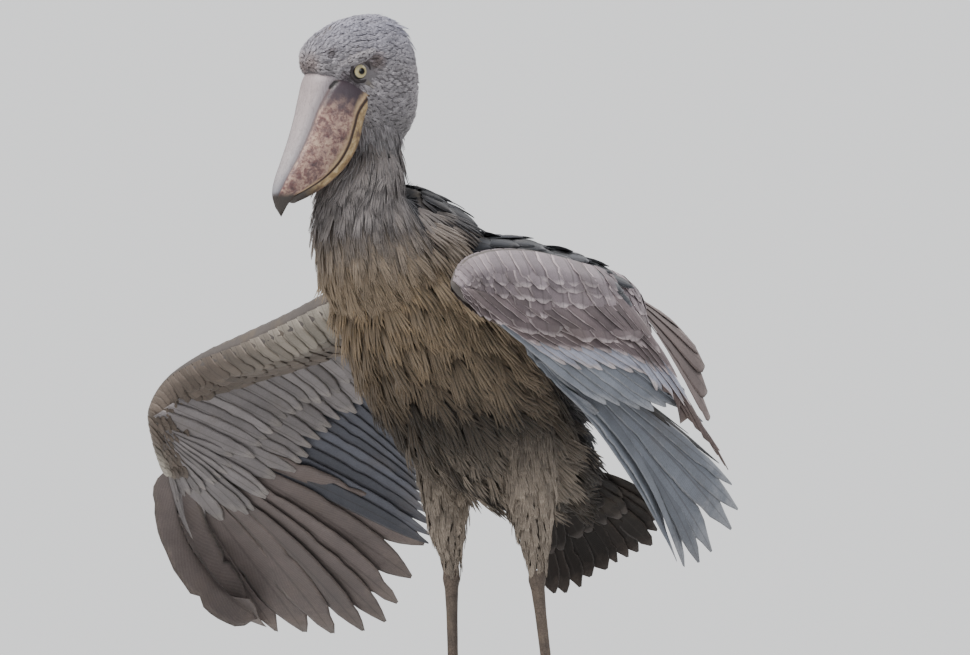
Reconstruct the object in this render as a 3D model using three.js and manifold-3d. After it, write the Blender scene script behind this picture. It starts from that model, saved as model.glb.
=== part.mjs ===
// A standing shoebill at life size, with both wings half open and drooped.
// Millimetres, +Z up. The bird faces -Y and its left side is +X.
// The origin is the middle of the sole of the left foot, on the floor.
// Sizes below are in the body's own frame, whose Z axis runs up between the feet.

import * as THREE from 'three';
import { mergeVertices } from 'three/addons/utils/BufferGeometryUtils.js';
import Module from 'manifold-3d';

const wasm = await Module();
wasm.setup();

// Driving dimensions

const GAP = 0.35;                       // clearance between touching nodes
const ANKLE_HEIGHT = 242;
const FEET = { left: [119, -7], right: [-58, -24] };
const ANKLES = { left: [95, -18], right: [-69, -18] };
const HIP_HEIGHT = 500;
const HEAD_CENTRE = [0, -310, 985];
const HEAD_TURN = 15;                   // degrees to the bird's right
const EYE = { ahead: 29, out: 38.5, up: -4, radius: 14.5 };
const LID = { radius: 13.4, thickness: 3, out: 47.5 };
const VANE_THICKNESS = 1.3;
const VANE_STEP = 2.1;                  // rise from one vane to the next that lies over it
const VANE_OVERLAP = 1.9;               // widest vane, in spacings of its row
const LOCK_THICKNESS = 2.2;
const TOE = { width: 16, height: 14 };
const TOES = [
  { name: 'inner', length: 122, outward: -27 },
  { name: 'middle', length: 165, outward: 4 },
  { name: 'outer', length: 138, outward: 34 },
  { name: 'hind', length: 82, outward: 170 },
];
const CLAW = { length: 24, radius: 5.2, drop: 5 };

// Outlines of single feathers: share of the length, share of the width

const FLIGHT_SHAPE = [[0, 0.6], [0.3, 0.9], [0.8, 1], [1, 0.25]];
const COVERT_SHAPE = [[0, 0.6], [0.45, 1], [0.82, 0.86], [1, 0.25]];
const LOCK_SHAPE = [[0, 0.8], [0.5, 1], [1, 0.1]];

// Body stations, from the neck to the tail and from the head to the breast

const TORSO_STATIONS = [
  { x: 0, y: -257, z: 775, deep: 67, wide: 64 },
  { x: 0, y: -221, z: 730, deep: 101, wide: 95 },
  { x: 0, y: -179, z: 669, deep: 125, wide: 117 },
  { x: 0, y: -126, z: 597, deep: 133, wide: 127 },
  { x: 0, y: -60, z: 527, deep: 129, wide: 125 },
  { x: 0, y: 8, z: 467, deep: 108, wide: 112 },
  { x: 0, y: 76, z: 423, deep: 86, wide: 94 },
  { x: 0, y: 132, z: 391, deep: 58, wide: 70 },
  { x: 0, y: 170, z: 368, deep: 30, wide: 42 },
];
const NECK_STATIONS = [
  { x: 0, y: -290, z: 912, deep: 42, wide: 44 },
  { x: 0, y: -285, z: 870, deep: 42, wide: 47 },
  { x: 0, y: -290, z: 835, deep: 53, wide: 54 },
  { x: 0, y: -299, z: 800, deep: 66, wide: 61 },
  { x: 0, y: -293, z: 765, deep: 77, wide: 72 },
  { x: 0, y: -270, z: 722, deep: 88, wide: 84 },
  { x: 0, y: -243, z: 690, deep: 90, wide: 88 },
];
const THIGH_STATIONS = [
  { x: 76, y: -34, z: 500, deep: 54, wide: 40 },
  { x: 80, y: -26, z: 440, deep: 48, wide: 39 },
  { x: 82, y: -16, z: 372, deep: 38, wide: 34 },
  { x: 82, y: -11, z: 318, deep: 29, wide: 26 },
  { x: 82, y: -5, z: 278, deep: 19, wide: 17 },
  { x: 82, y: -3, z: 254, deep: 14, wide: 12.5 },
];

// Head sections: forward place, top and bottom above the head's centre, half width

const HEAD_SECTIONS = [
  { ahead: -88, top: 8, bottom: -66, wide: 22 },
  { ahead: -80, top: 40, bottom: -88, wide: 35 },
  { ahead: -62, top: 66, bottom: -108, wide: 46 },
  { ahead: -36, top: 78, bottom: -118, wide: 53 },
  { ahead: -8, top: 79, bottom: -110, wide: 55 },
  { ahead: 20, top: 74, bottom: -80, wide: 52 },
  { ahead: 45, top: 65, bottom: -46, wide: 48 },
  { ahead: 67, top: 52, bottom: -24, wide: 41 },
  { ahead: 84, top: 37, bottom: -10, wide: 30 },
  { ahead: 93, top: 24, bottom: 4, wide: 14 },
];

// Bill sections: ridge, mouth line and lower edge as forward and up, and half width

const BILL_SECTIONS = [
  { ridge: [58, 16], mouth: [-6, -30], chin: [-18, -58], wide: 43 },
  { ridge: [87, -9], mouth: [14, -42], chin: [2, -64], wide: 49 },
  { ridge: [96, -40], mouth: [33, -63], chin: [9, -82], wide: 51 },
  { ridge: [105, -72], mouth: [41, -88], chin: [13, -104], wide: 50 },
  { ridge: [117, -104], mouth: [48, -112], chin: [22, -125], wide: 47 },
  { ridge: [130, -133], mouth: [62, -137], chin: [38, -147], wide: 42 },
  { ridge: [142, -158], mouth: [84, -160], chin: [63, -169], wide: 34 },
  { ridge: [148, -176], mouth: [108, -176], chin: [92, -186], wide: 25 },
  { ridge: [149, -189], mouth: [124, -187], chin: [115, -196], wide: 15 },
  { ridge: [145, -202], mouth: [132, -200], chin: [126, -200], wide: 9 },
];
const HOOK_TIP = [136, -216];
const LOWER_BILL_SECTIONS = 8;          // the lower bill ends before the hook
const GROOVE = { place: 0.56, depth: 2.4 };
const NOSTRIL = { section: 1.6, length: 15, height: 3.4, depth: 5 };

// Wings: leading edge and trailing edge of the arm, then roots and tips of the feathers

const RIGHT_WING = {
  dorsal: [-0.3, 0.6, 0.75],
  lead: [[-60, -236, 662], [-120, -240, 645], [-220, -228, 612], [-318, -212, 583],
    [-427, -189, 556], [-484, -186, 528], [-511, -190, 487], [-530, -160, 440], [-558, -104, 391]],
  trail: [[-60, -90, 640], [-150, -88, 606], [-220, -74, 580], [-300, -72, 560],
    [-410, -102, 520], [-470, -134, 480], [-486, -140, 456], [-508, -118, 428], [-540, -72, 386]],
  depth: [30, 30, 28, 26, 20, 18, 16, 13, 8.5],
  fans: [
    {
      count: 10, width: 64, bow: 0, bend: 0.03, height: 0,
      roots: [[-150, -98, 606], [-300, -84, 560], [-410, -112, 520], [-484, -146, 462]],
      tips: [[-154, 106, 440], [-233, 120, 396], [-268, 174, 348], [-316, 226, 286]],
    },
    {
      count: 9, width: 60, bow: 0.07, bend: 0.03, height: -2.4,
      roots: [[-487, -146, 458], [-512, -130, 430], [-552, -96, 402]],
      tips: [[-328, 232, 282], [-416, 278, 200], [-501, 311, 160], [-608, 325, 148],
        [-688, 300, 150], [-672, 240, 172]],
    },
  ],
};
const RIGHT_WRIST = 0.7;                // share of the wing's front edge at the wrist
const HAND_SEAT = 0.03;
const HAND_END = 0.97;
const LEFT_WING = {
  dorsal: [1, -0.1, 0.25],
  lead: [[196, 74, 650], [206, 20, 684], [212, -67, 702], [204, -181, 722],
    [194, -270, 718], [190, -308, 702], [192, -328, 672]],
  trail: [[238, 60, 612], [262, 10, 606], [256, -60, 608], [240, -180, 618],
    [222, -258, 630], [210, -292, 638], [200, -312, 648]],
  depth: [10, 18, 21, 21, 21, 19, 10],
  fans: [
    {
      count: 4, width: 60, bow: 0, bend: 0.02, height: 3.1,
      roots: [[196, 0, 680], [216, 18, 664], [240, 26, 640]],
      tips: [[206, 92, 645], [232, 190, 566], [262, 172, 478]],
    },
    {
      count: 9, width: 62, bow: 0, bend: 0.02, height: 0,
      roots: [[256, 10, 620], [252, -60, 620], [236, -180, 628], [216, -284, 642]],
      tips: [[280, 196, 400], [272, 180, 430], [262, 134, 488], [250, 59, 488], [232, -30, 498]],
    },
    {
      count: 9, width: 64, bow: -0.06, bend: 0.02, height: -2.4,
      roots: [[184, -262, 668], [186, -206, 624], [188, -152, 584]],
      tips: [[205, 207, 450], [212, 290, 385], [208, 305, 325], [198, 255, 266], [190, 205, 255],
        [184, 178, 300]],
    },
  ],
};
const LEFT_HUMERUS = [
  { x: 66, y: -150, z: 684, deep: 62, wide: 50 },
  { x: 130, y: -118, z: 682, deep: 52, wide: 38 },
  { x: 190, y: -70, z: 674, deep: 38, wide: 27 },
  { x: 228, y: -24, z: 660, deep: 24, wide: 20 },
];
const LEFT_HAND = [
  { x: 198, y: -314, z: 682, deep: 24, wide: 20 },
  { x: 192, y: -280, z: 660, deep: 22, wide: 17 },
  { x: 189, y: -230, z: 632, deep: 18, wide: 13 },
  { x: 188, y: -180, z: 606, deep: 13, wide: 10 },
  { x: 188, y: -146, z: 588, deep: 8, wide: 7 },
];

// Tail: root and tip places of the tail feathers, from the left side to the right

const TAIL = {
  dorsal: [0, 0.5, 1],
  roots: [[40, 118, 410], [0, 128, 402], [-40, 118, 396]],
  tips: [[72, 276, 350], [44, 322, 300], [0, 322, 270], [-28, 300, 256], [-56, 266, 226],
    [-82, 234, 212]],
  count: 9,
  width: 66,
  bow: 0,
  bend: 0.03,
  height: 0,
};

// Numbers and vectors

const vector = (p) => new THREE.Vector3(p[0], p[1], p[2]);

function draw(seed) {
  const value = Math.sin(seed * 127.1 + 311.7) * 43758.5453;
  return value - Math.floor(value);
}

// A place on a curve through points, which runs on straight past its ends
function along(points, share) {
  const curve = new THREE.CatmullRomCurve3(points.map(vector), false, 'centripetal');
  const within = Math.min(1, Math.max(0, share));
  const point = curve.getPoint(within);
  if (share !== within) {
    point.addScaledVector(curve.getTangent(within), (share - within) * curve.getLength());
  }
  return point;
}

// A list of stations with the same fields, interpolated to a given number of steps
function smoothStations(stations, steps) {
  const last = stations.length - 1;
  const pick = (index) => stations[Math.min(last, Math.max(0, index))];
  return Array.from({ length: steps + 1 }, (_, step) => {
    const place = (step / steps) * last;
    const base = Math.min(last - 1, Math.floor(place));
    const t = place - base;
    const result = {};
    for (const key of Object.keys(stations[0])) {
      const [a, b, c, d] = [pick(base - 1)[key], pick(base)[key], pick(base + 1)[key], pick(base + 2)[key]];
      result[key] = b + 0.5 * t * (c - a + t * (2 * a - 5 * b + 4 * c - d + t * (3 * (b - c) + d - a)));
    }
    return result;
  });
}

// Solids

function manifoldOf(geometry) {
  const bare = geometry.clone();
  bare.deleteAttribute('normal');
  bare.deleteAttribute('uv');
  const merged = mergeVertices(bare, 1e-4);
  return new wasm.Manifold(new wasm.Mesh({
    numProp: 3,
    vertProperties: new Float32Array(merged.attributes.position.array),
    triVerts: new Uint32Array(merged.index.array),
  }));
}

// A closed solid from points and triangles, turned so that its faces point out
function closedSolid(points, triangles) {
  let volume = 0;
  for (const [a, b, c] of triangles) {
    volume += points[a].dot(new THREE.Vector3().crossVectors(points[b], points[c]));
  }
  const faces = volume < 0 ? triangles.map(([a, b, c]) => [a, c, b]) : triangles;
  const geometry = new THREE.BufferGeometry().setFromPoints(points);
  geometry.setIndex(faces.flat());
  return manifoldOf(geometry);
}

// Rings of equal point count joined one to the next, closed at both ends by a pole
function loft(rings, startPole, endPole) {
  const size = rings[0].length;
  const points = [startPole, ...rings.flat(), endPole];
  const last = points.length - 1;
  const at = (ring, index) => 1 + ring * size + (index % size);
  const triangles = [];
  for (let i = 0; i < size; i += 1) {
    triangles.push([0, at(0, i + 1), at(0, i)]);
    triangles.push([last, at(rings.length - 1, i), at(rings.length - 1, i + 1)]);
    for (let ring = 0; ring < rings.length - 1; ring += 1) {
      triangles.push([at(ring, i), at(ring, i + 1), at(ring + 1, i + 1)]);
      triangles.push([at(ring, i), at(ring + 1, i + 1), at(ring + 1, i)]);
    }
  }
  return closedSolid(points, triangles);
}

// The frame of a limb or body at one station: the way along it, across it and up from it
function stationFrames(stations) {
  return stations.map((station, index) => {
    const before = stations[Math.max(0, index - 1)];
    const after = stations[Math.min(stations.length - 1, index + 1)];
    const way = new THREE.Vector3(after.x - before.x, after.y - before.y, after.z - before.z).normalize();
    const across = new THREE.Vector3(1, 0, 0).addScaledVector(way, -way.x).normalize();
    const up = new THREE.Vector3().crossVectors(way, across);
    return { station, centre: new THREE.Vector3(station.x, station.y, station.z), way, across, up };
  });
}

function roundBody(stations, steps, sides, endBulge, grow) {
  const frames = stationFrames(smoothStations(stations, steps));
  const rings = frames.map(({ station, centre, across, up }) => (
    Array.from({ length: sides }, (_, index) => {
      const angle = (index / sides) * 2 * Math.PI;
      return centre.clone()
        .addScaledVector(across, (station.wide + grow) * Math.cos(angle))
        .addScaledVector(up, (station.deep + grow) * Math.sin(angle));
    })));
  const pole = (frame, sign) => (
    frame.centre.clone().addScaledVector(frame.way, sign * (frame.station.wide * endBulge + grow)));
  return loft(rings, pole(frames[0], -1), pole(frames[frames.length - 1], 1));
}

// The two edges of a strip at a middle point, from the ways across and out of its face
function flatRow({ centre, across, face, wide }) {
  return {
    left: centre.clone().addScaledVector(across, -wide / 2),
    right: centre.clone().addScaledVector(across, wide / 2),
    leftFace: face,
    rightFace: face,
  };
}

// A thin closed strip through rows of edge points, with both faces split alike
function ribbon(rows, thickness, grow) {
  const last = rows.length - 1;
  const middles = rows.map(({ left, right }) => left.clone().lerp(right, 0.5));
  const points = rows.flatMap(({ left, right, leftFace, rightFace }, index) => {
    const way = middles[Math.min(last, index + 1)].clone().sub(middles[Math.max(0, index - 1)]).normalize();
    const across = right.clone().sub(left).normalize();
    const half = (index === last ? 0.6 : 1) * thickness / 2 + grow;
    const shift = index === 0 ? -grow : (index === last ? grow : 0);
    const corner = (edge, face, side, level) => edge.clone()
      .addScaledVector(way, shift)
      .addScaledVector(across, side * grow)
      .addScaledVector(face, level * half);
    return [
      corner(left, leftFace, -1, 1), corner(right, rightFace, 1, 1),
      corner(left, leftFace, -1, -1), corner(right, rightFace, 1, -1),
    ];
  });
  const [topLeft, topRight, underLeft, underRight] = [0, 1, 2, 3];
  const at = (row, corner) => row * 4 + corner;
  const triangles = [];
  const quad = (a, b, c, d) => triangles.push([a, b, c], [a, c, d]);
  for (let row = 0; row < last; row += 1) {
    const next = row + 1;
    quad(at(row, topLeft), at(next, topLeft), at(next, topRight), at(row, topRight));
    triangles.push([at(row, underLeft), at(next, underRight), at(next, underLeft)]);
    triangles.push([at(row, underLeft), at(row, underRight), at(next, underRight)]);
    quad(at(row, topLeft), at(row, underLeft), at(next, underLeft), at(next, topLeft));
    quad(at(row, underRight), at(row, topRight), at(next, topRight), at(next, underRight));
  }
  quad(at(0, topLeft), at(0, topRight), at(0, underRight), at(0, underLeft));
  quad(at(last, topRight), at(last, topLeft), at(last, underLeft), at(last, underRight));
  return closedSolid(points, triangles);
}

// One straight-sided lock from its root to its tip, bent out of its own face
function vane({ root, tip, face, outward, width, thickness, shape, bend }, grow) {
  const axis = tip.clone().sub(root);
  const length = axis.length();
  const way = axis.clone().normalize();
  const flatFace = face.clone().addScaledVector(way, -face.dot(way)).normalize();
  const across = new THREE.Vector3().crossVectors(way, flatFace);
  if (across.dot(outward) < 0) {
    across.negate();
  }
  const rows = shape.map(([share, wide]) => flatRow({
    centre: root.clone()
      .addScaledVector(axis, share)
      .addScaledVector(flatFace, bend * length * 4 * share * (1 - share)),
    across,
    face: flatFace,
    wide: wide * width,
  }));
  return ribbon(rows, thickness, grow);
}

function joined(pieces) {
  let pool = pieces;
  while (pool.length > 1) {
    const next = [];
    for (let index = 0; index < pool.length; index += 2) {
      next.push(index + 1 < pool.length ? pool[index].add(pool[index + 1]) : pool[index]);
    }
    pool = next;
  }
  return pool[0];
}

// The largest closed surface of a solid, with what lies loose or hollow inside it dropped
function largestBody(manifold) {
  const bodies = manifold.decompose();
  return bodies.reduce((best, body) => (body.volume() > best.volume() ? body : best));
}

// A place on a round body: share along it, angle round it, height over it.
// An angle of 90 degrees is the front or belly and 270 the back.
function surfaceOf(stations) {
  const frames = stationFrames(smoothStations(stations, 40));
  return (share, degrees, height) => {
    const frame = frames[Math.round(Math.min(1, Math.max(0, share)) * 40)];
    const angle = THREE.MathUtils.degToRad(degrees);
    const { wide, deep } = frame.station;
    const centre = frame.centre.clone()
      .addScaledVector(frame.across, (wide + height) * Math.cos(angle))
      .addScaledVector(frame.up, (deep + height) * Math.sin(angle));
    const face = frame.across.clone().multiplyScalar(Math.cos(angle) * deep)
      .addScaledVector(frame.up, Math.sin(angle) * wide).normalize();
    const across = new THREE.Vector3().crossVectors(face, frame.way).normalize();
    return { centre, face, across };
  };
}

// Rows of locks that lie along a round body and lift a little at their tips
function locksOn(stations, rows, grow) {
  const surface = surfaceOf(stations);
  const pieces = [];
  rows.forEach((row, rowIndex) => {
    for (let index = 0; index < row.count; index += 1) {
      const seed = rowIndex * 41 + index * 3 + row.width;
      const offset = (rowIndex % 2) * 0.5;
      const angle = row.from + ((index + offset) / row.count) * (row.to - row.from) + 6 * (draw(seed) - 0.5);
      const reach = row.reach * (0.85 + 0.3 * draw(seed + 1));
      const sway = row.sway * (draw(seed + 2) - 0.5);
      const shape = row.shape ?? LOCK_SHAPE;
      const places = shape.map(([share, wide], place) => flatRow({
        ...surface(
          row.share + reach * share,
          angle + sway * share,
          place === 0 ? -row.sink : row.lift * (0.3 + 0.7 * share),
        ),
        wide: wide * row.width,
      }));
      pieces.push(ribbon(places, row.thickness ?? LOCK_THICKNESS, grow));
    }
  });
  return pieces;
}

// Torso with breast locks in front and overlapping mantle feathers on the back

const BREAST_ROWS = [
  { share: 0.14, count: 5, from: 26, to: 154, width: 48 },
  { share: 0.29, count: 6, from: 14, to: 166, width: 50 },
  { share: 0.44, count: 6, from: 6, to: 174, width: 54 },
  { share: 0.6, count: 5, from: 4, to: 176, width: 54 },
  { share: 0.76, count: 4, from: 30, to: 150, width: 44 },
].map((row) => ({ ...row, reach: 0.17, sink: 7, lift: 13, sway: 12 }));
const MANTLE_ROWS = [
  { share: 0.12, count: 3, from: 232, to: 308, width: 60 },
  { share: 0.28, count: 4, from: 222, to: 318, width: 62 },
  { share: 0.44, count: 4, from: 210, to: 330, width: 66 },
  { share: 0.6, count: 4, from: 206, to: 334, width: 62 },
  { share: 0.76, count: 3, from: 210, to: 330, width: 50 },
].map((row) => ({
  ...row, reach: 0.19, sink: 7, lift: 12, sway: 4, shape: COVERT_SHAPE, thickness: VANE_THICKNESS,
}));

function torsoSolid(grow) {
  const core = roundBody(TORSO_STATIONS, 12, 16, 0.35, grow);
  return joined([
    core,
    ...locksOn(TORSO_STATIONS, BREAST_ROWS, grow),
    ...locksOn(TORSO_STATIONS, MANTLE_ROWS, grow),
  ]);
}

// Neck with long plumes

const NECK_ROWS = [0.24, 0.42, 0.6].map((share, index) => ({
  share, reach: 0.22, from: 0, to: 360, count: 5 + index, width: 50 + 6 * index, sink: 6, lift: 9, sway: 8,
}));

function neckSolid(grow) {
  return joined([roundBody(NECK_STATIONS, 8, 14, 0.3, grow), ...locksOn(NECK_STATIONS, NECK_ROWS, grow)]);
}

// Head

const turn = THREE.MathUtils.degToRad(HEAD_TURN);
const headAhead = new THREE.Vector3(-Math.sin(turn), -Math.cos(turn), 0);
const headLeft = new THREE.Vector3(Math.cos(turn), -Math.sin(turn), 0);
const headUp = new THREE.Vector3(0, 0, 1);

function headPoint(ahead, out, up) {
  return vector(HEAD_CENTRE)
    .addScaledVector(headAhead, ahead)
    .addScaledVector(headLeft, out)
    .addScaledVector(headUp, up);
}

const HEAD_ROUNDNESS = 0.88;            // below 1 fills out the corners of a section

function headSurface(section, degrees, height) {
  const angle = THREE.MathUtils.degToRad(degrees);
  const rounded = (value) => Math.sign(value) * Math.abs(value) ** HEAD_ROUNDNESS;
  const middle = (section.top + section.bottom) / 2;
  const tall = (section.top - section.bottom) / 2 + height;
  return headPoint(
    section.ahead,
    (section.wide + height) * rounded(Math.cos(angle)),
    middle + tall * rounded(Math.sin(angle)),
  );
}

function headCore(grow) {
  const sides = 20;
  const rings = smoothStations(HEAD_SECTIONS, 12).map((section) => (
    Array.from({ length: sides }, (_, index) => headSurface(section, (index / sides) * 360, grow))));
  return loft(rings, headPoint(-92 - grow, 0, -28), headPoint(97 + grow, 0, 14));
}

const BROW_SLOPE = 14;                  // degrees that the brow falls towards the bill

// The rim of an eye on one side, as an upper and a lower lid, under a heavy brow
function lids(side, grow) {
  const place = headPoint(EYE.ahead, side * LID.out, EYE.up);
  const outward = headLeft.clone().multiplyScalar(side).addScaledVector(headAhead, 0.12).normalize();
  const rim = new THREE.TorusGeometry(LID.radius, LID.thickness + grow, 5, 14);
  rim.applyQuaternion(new THREE.Quaternion().setFromUnitVectors(new THREE.Vector3(0, 0, 1), outward));
  rim.translate(place.x, place.y, place.z);
  const brow = new THREE.SphereGeometry(1, 9, 6);
  brow.scale(7 + grow, 24 + grow, 6 + grow);
  brow.rotateX(THREE.MathUtils.degToRad(BROW_SLOPE));
  brow.rotateZ(-turn);
  const browPlace = headPoint(EYE.ahead + 4, side * (LID.out - 2), EYE.up + 18);
  brow.translate(browPlace.x, browPlace.y, browPlace.z);
  return [manifoldOf(rim), manifoldOf(brow)];
}

// Short feathers that stand up along the back of the crown
const CREST_ROWS = [
  { section: 1.5, count: 4, spread: 74, length: 30, rise: 8 },
  { section: 2.4, count: 5, spread: 90, length: 32, rise: 8 },
  { section: 3.3, count: 5, spread: 96, length: 34, rise: 6 },
];

function crest(grow) {
  const pieces = [];
  CREST_ROWS.forEach((row, rowIndex) => {
    for (let index = 0; index < row.count; index += 1) {
      const share = row.count > 1 ? index / (row.count - 1) - 0.5 : 0;
      const seed = 200 + rowIndex * 17 + index;
      const degrees = 90 + row.spread * share;
      const section = smoothStations(HEAD_SECTIONS, 90)[Math.round(row.section * 10)];
      const root = headSurface(section, degrees, -6);
      const length = row.length * (0.8 + 0.4 * draw(seed));
      const out = headSurface(section, degrees, 10).sub(root).normalize();
      const tip = root.clone()
        .addScaledVector(headAhead, -length)
        .addScaledVector(out, 8 + row.rise * draw(seed + 5));
      pieces.push(vane({
        root, tip, face: out, outward: headLeft, width: 17, thickness: LOCK_THICKNESS,
        shape: LOCK_SHAPE, bend: 0.08,
      }, grow));
    }
  });
  return pieces;
}

function eyeBall(side, grow) {
  const ball = new THREE.SphereGeometry(EYE.radius + grow, 14, 9);
  const place = headPoint(EYE.ahead, side * EYE.out, EYE.up);
  ball.translate(place.x, place.y, place.z);
  return manifoldOf(ball);
}

function headSolid(grow) {
  return joined([headCore(grow), ...lids(1, grow), ...lids(-1, grow), ...crest(grow)]);
}

// Bill

const ARCH_ANGLES = [0, 16, 33, 48, 57, 66, 78, 90, 102, 114, 123, 132, 147, 164, 180];

// One ring of the upper bill: an arch with a groove on each side of the ridge, closed by the palate
function upperBillRing(section, grow) {
  const [ridge, mouth] = [section.ridge, section.mouth];
  const tall = Math.hypot(ridge[0] - mouth[0], ridge[1] - mouth[1]);
  const rise = [(ridge[0] - mouth[0]) / tall, (ridge[1] - mouth[1]) / tall];
  const place = (out, up) => headPoint(mouth[0] + rise[0] * up, out, mouth[1] + rise[1] * up);
  const arch = ARCH_ANGLES.map((degrees) => {
    const angle = THREE.MathUtils.degToRad(degrees);
    const side = Math.cos(angle);
    const groove = GROOVE.depth * Math.exp(-(((Math.abs(side) - GROOVE.place) / 0.09) ** 2));
    return place(
      (section.wide + grow - groove) * Math.sign(side) * Math.abs(side) ** 0.9,
      (tall + grow - groove) * Math.sin(angle) ** 0.92 - grow * (degrees % 180 === 0 ? 1 : 0),
    );
  });
  const palate = [-0.6, 0, 0.6].map((share) => place(share * section.wide, 0.04 * tall - grow));
  return [...arch, ...palate];
}

function upperBillCore(grow) {
  const rings = smoothStations(BILL_SECTIONS.map(flatSection), 12).map((flat) => (
    upperBillRing(unflatSection(flat), grow)));
  const base = headPoint(24, 0, 0);
  return loft(rings, base, headPoint(HOOK_TIP[0], 0, HOOK_TIP[1] - grow));
}

function flatSection({ ridge, mouth, chin, wide }) {
  return { ra: ridge[0], ru: ridge[1], ma: mouth[0], mu: mouth[1], ca: chin[0], cu: chin[1], wide };
}

function unflatSection({ ra, ru, ma, mu, ca, cu, wide }) {
  return { ridge: [ra, ru], mouth: [ma, mu], chin: [ca, cu], wide };
}

// A slit in the groove near the base of the bill, on one side
function nostril(side) {
  const degrees = side > 0 ? ARCH_ANGLES[4] : ARCH_ANGLES[10];
  const index = ARCH_ANGLES.indexOf(degrees);
  const before = upperBillRing(BILL_SECTIONS[1], 0)[index];
  const after = upperBillRing(BILL_SECTIONS[2], 0)[index];
  const way = after.clone().sub(before).normalize();
  const outward = headLeft.clone().multiplyScalar(side).addScaledVector(headAhead, 0.9).normalize();
  const across = new THREE.Vector3().crossVectors(way, outward).normalize();
  const deep = new THREE.Vector3().crossVectors(across, way);
  const slit = new THREE.BoxGeometry(NOSTRIL.length, NOSTRIL.height, NOSTRIL.depth * 2);
  slit.applyMatrix4(new THREE.Matrix4().makeBasis(way, across, deep));
  const place = before.clone().lerp(after, NOSTRIL.section - 1);
  slit.translate(place.x, place.y, place.z);
  return manifoldOf(slit);
}

function upperBill() {
  return upperBillCore(0).subtract(nostril(1)).subtract(nostril(-1)).subtract(headSolid(GAP));
}

function lowerBillCore(grow) {
  const sections = smoothStations(BILL_SECTIONS.slice(0, LOWER_BILL_SECTIONS + 1).map(flatSection), 10);
  const angles = [0, 32, 62, 90, 118, 148, 180];
  const rings = sections.map(unflatSection).map(({ mouth, chin, wide }) => {
    const tall = Math.hypot(mouth[0] - chin[0], mouth[1] - chin[1]);
    const fall = [(chin[0] - mouth[0]) / tall, (chin[1] - mouth[1]) / tall];
    const place = (out, down) => headPoint(mouth[0] + fall[0] * down, out, mouth[1] + fall[1] * down);
    const arch = angles.map((degrees) => {
      const angle = THREE.MathUtils.degToRad(degrees);
      return place(
        (wide * 0.95 + grow) * Math.sign(Math.cos(angle)) * Math.abs(Math.cos(angle)) ** 0.8,
        (tall + grow) * Math.sin(angle) - grow * (degrees % 180 === 0 ? 1 : 0),
      );
    });
    return [...arch, place(-0.5 * wide, -grow), place(0.5 * wide, -grow)];
  });
  return loft(rings, headPoint(-24, 0, -40), headPoint(126, 0, -192));
}

// Legs

function mirrored(stations, side) {
  return stations.map((station) => ({ ...station, x: side * station.x }));
}

function shankStations(side) {
  const [footX, footY] = side > 0 ? FEET.left : FEET.right;
  const [ankleX, ankleY] = side > 0 ? ANKLES.left : ANKLES.right;
  const at = (share, z, deep, wide) => ({
    x: ankleX + (footX - ankleX) * share,
    y: ankleY + (footY - ankleY) * share,
    z,
    deep,
    wide,
  });
  return [
    at(0, ANKLE_HEIGHT + 24, 10, 9), at(0, ANKLE_HEIGHT, 14.5, 13), at(0.1, ANKLE_HEIGHT - 26, 10, 9.5),
    at(0.45, 140, 8.6, 8), at(0.8, 62, 8.8, 8.4), at(0.97, 26, 12.5, 11.5), at(1, 15, 12, 12),
  ];
}

const THIGH_ROWS = [0.36, 0.6].map((share, index) => ({
  share, reach: 0.26, from: 0, to: 360, count: 4, width: 34 - 9 * index, sink: 5, lift: 6, sway: 10,
}));

// The stations of a thigh, which leans from the hip to its own ankle
function thighStations(side) {
  const [ankleX, ankleY] = side > 0 ? ANKLES.left : ANKLES.right;
  const low = THIGH_STATIONS[THIGH_STATIONS.length - 1];
  return mirrored(THIGH_STATIONS, side).map((station) => {
    const drop = (HIP_HEIGHT - station.z) / (HIP_HEIGHT - low.z);
    return {
      ...station,
      x: station.x + drop * (ankleX - side * low.x),
      y: station.y + drop * (ankleY - low.y),
    };
  });
}

function thighSolid(side, grow) {
  const stations = thighStations(side);
  return joined([roundBody(stations, 8, 12, 0.4, grow), ...locksOn(stations, THIGH_ROWS, grow)]);
}

function shankSolid(side, grow) {
  return roundBody(shankStations(side), 10, 9, 0.3, grow);
}

// Width and height of a toe along its length, fuller over each joint
const TOE_PROFILE = [
  [0, 1.2, 1.25], [0.26, 1.1, 1.08], [0.4, 0.92, 0.92], [0.54, 1.04, 1],
  [0.68, 0.86, 0.86], [0.82, 0.94, 0.9], [1, 0.55, 0.55],
];
const TOE_SECTION = [[-0.8, 0], [0.8, 0], [1, 0.34], [0.72, 0.8], [0, 1], [-0.72, 0.8], [-1, 0.34]];

function toeWay(side, outward) {
  const angle = THREE.MathUtils.degToRad(outward);
  return new THREE.Vector3(side * Math.sin(angle), -Math.cos(angle), 0);
}

function toeSolid(side, toe, grow) {
  const [x, y] = side > 0 ? FEET.left : FEET.right;
  const way = toeWay(side, toe.outward);
  const across = new THREE.Vector3(-way.y, way.x, 0);
  const rings = TOE_PROFILE.map(([share, wide, tall]) => TOE_SECTION.map(([out, up]) => (
    new THREE.Vector3(x, y, 0)
      .addScaledVector(way, share * toe.length)
      .addScaledVector(across, out * (wide * TOE.width / 2 + grow))
      .setZ(up * (tall * TOE.height + grow)))));
  const start = new THREE.Vector3(x, y, 0).addScaledVector(way, -6).setZ(6);
  const end = new THREE.Vector3(x, y, 0).addScaledVector(way, toe.length + 4 + grow).setZ(4);
  return loft(rings, start, end);
}

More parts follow.
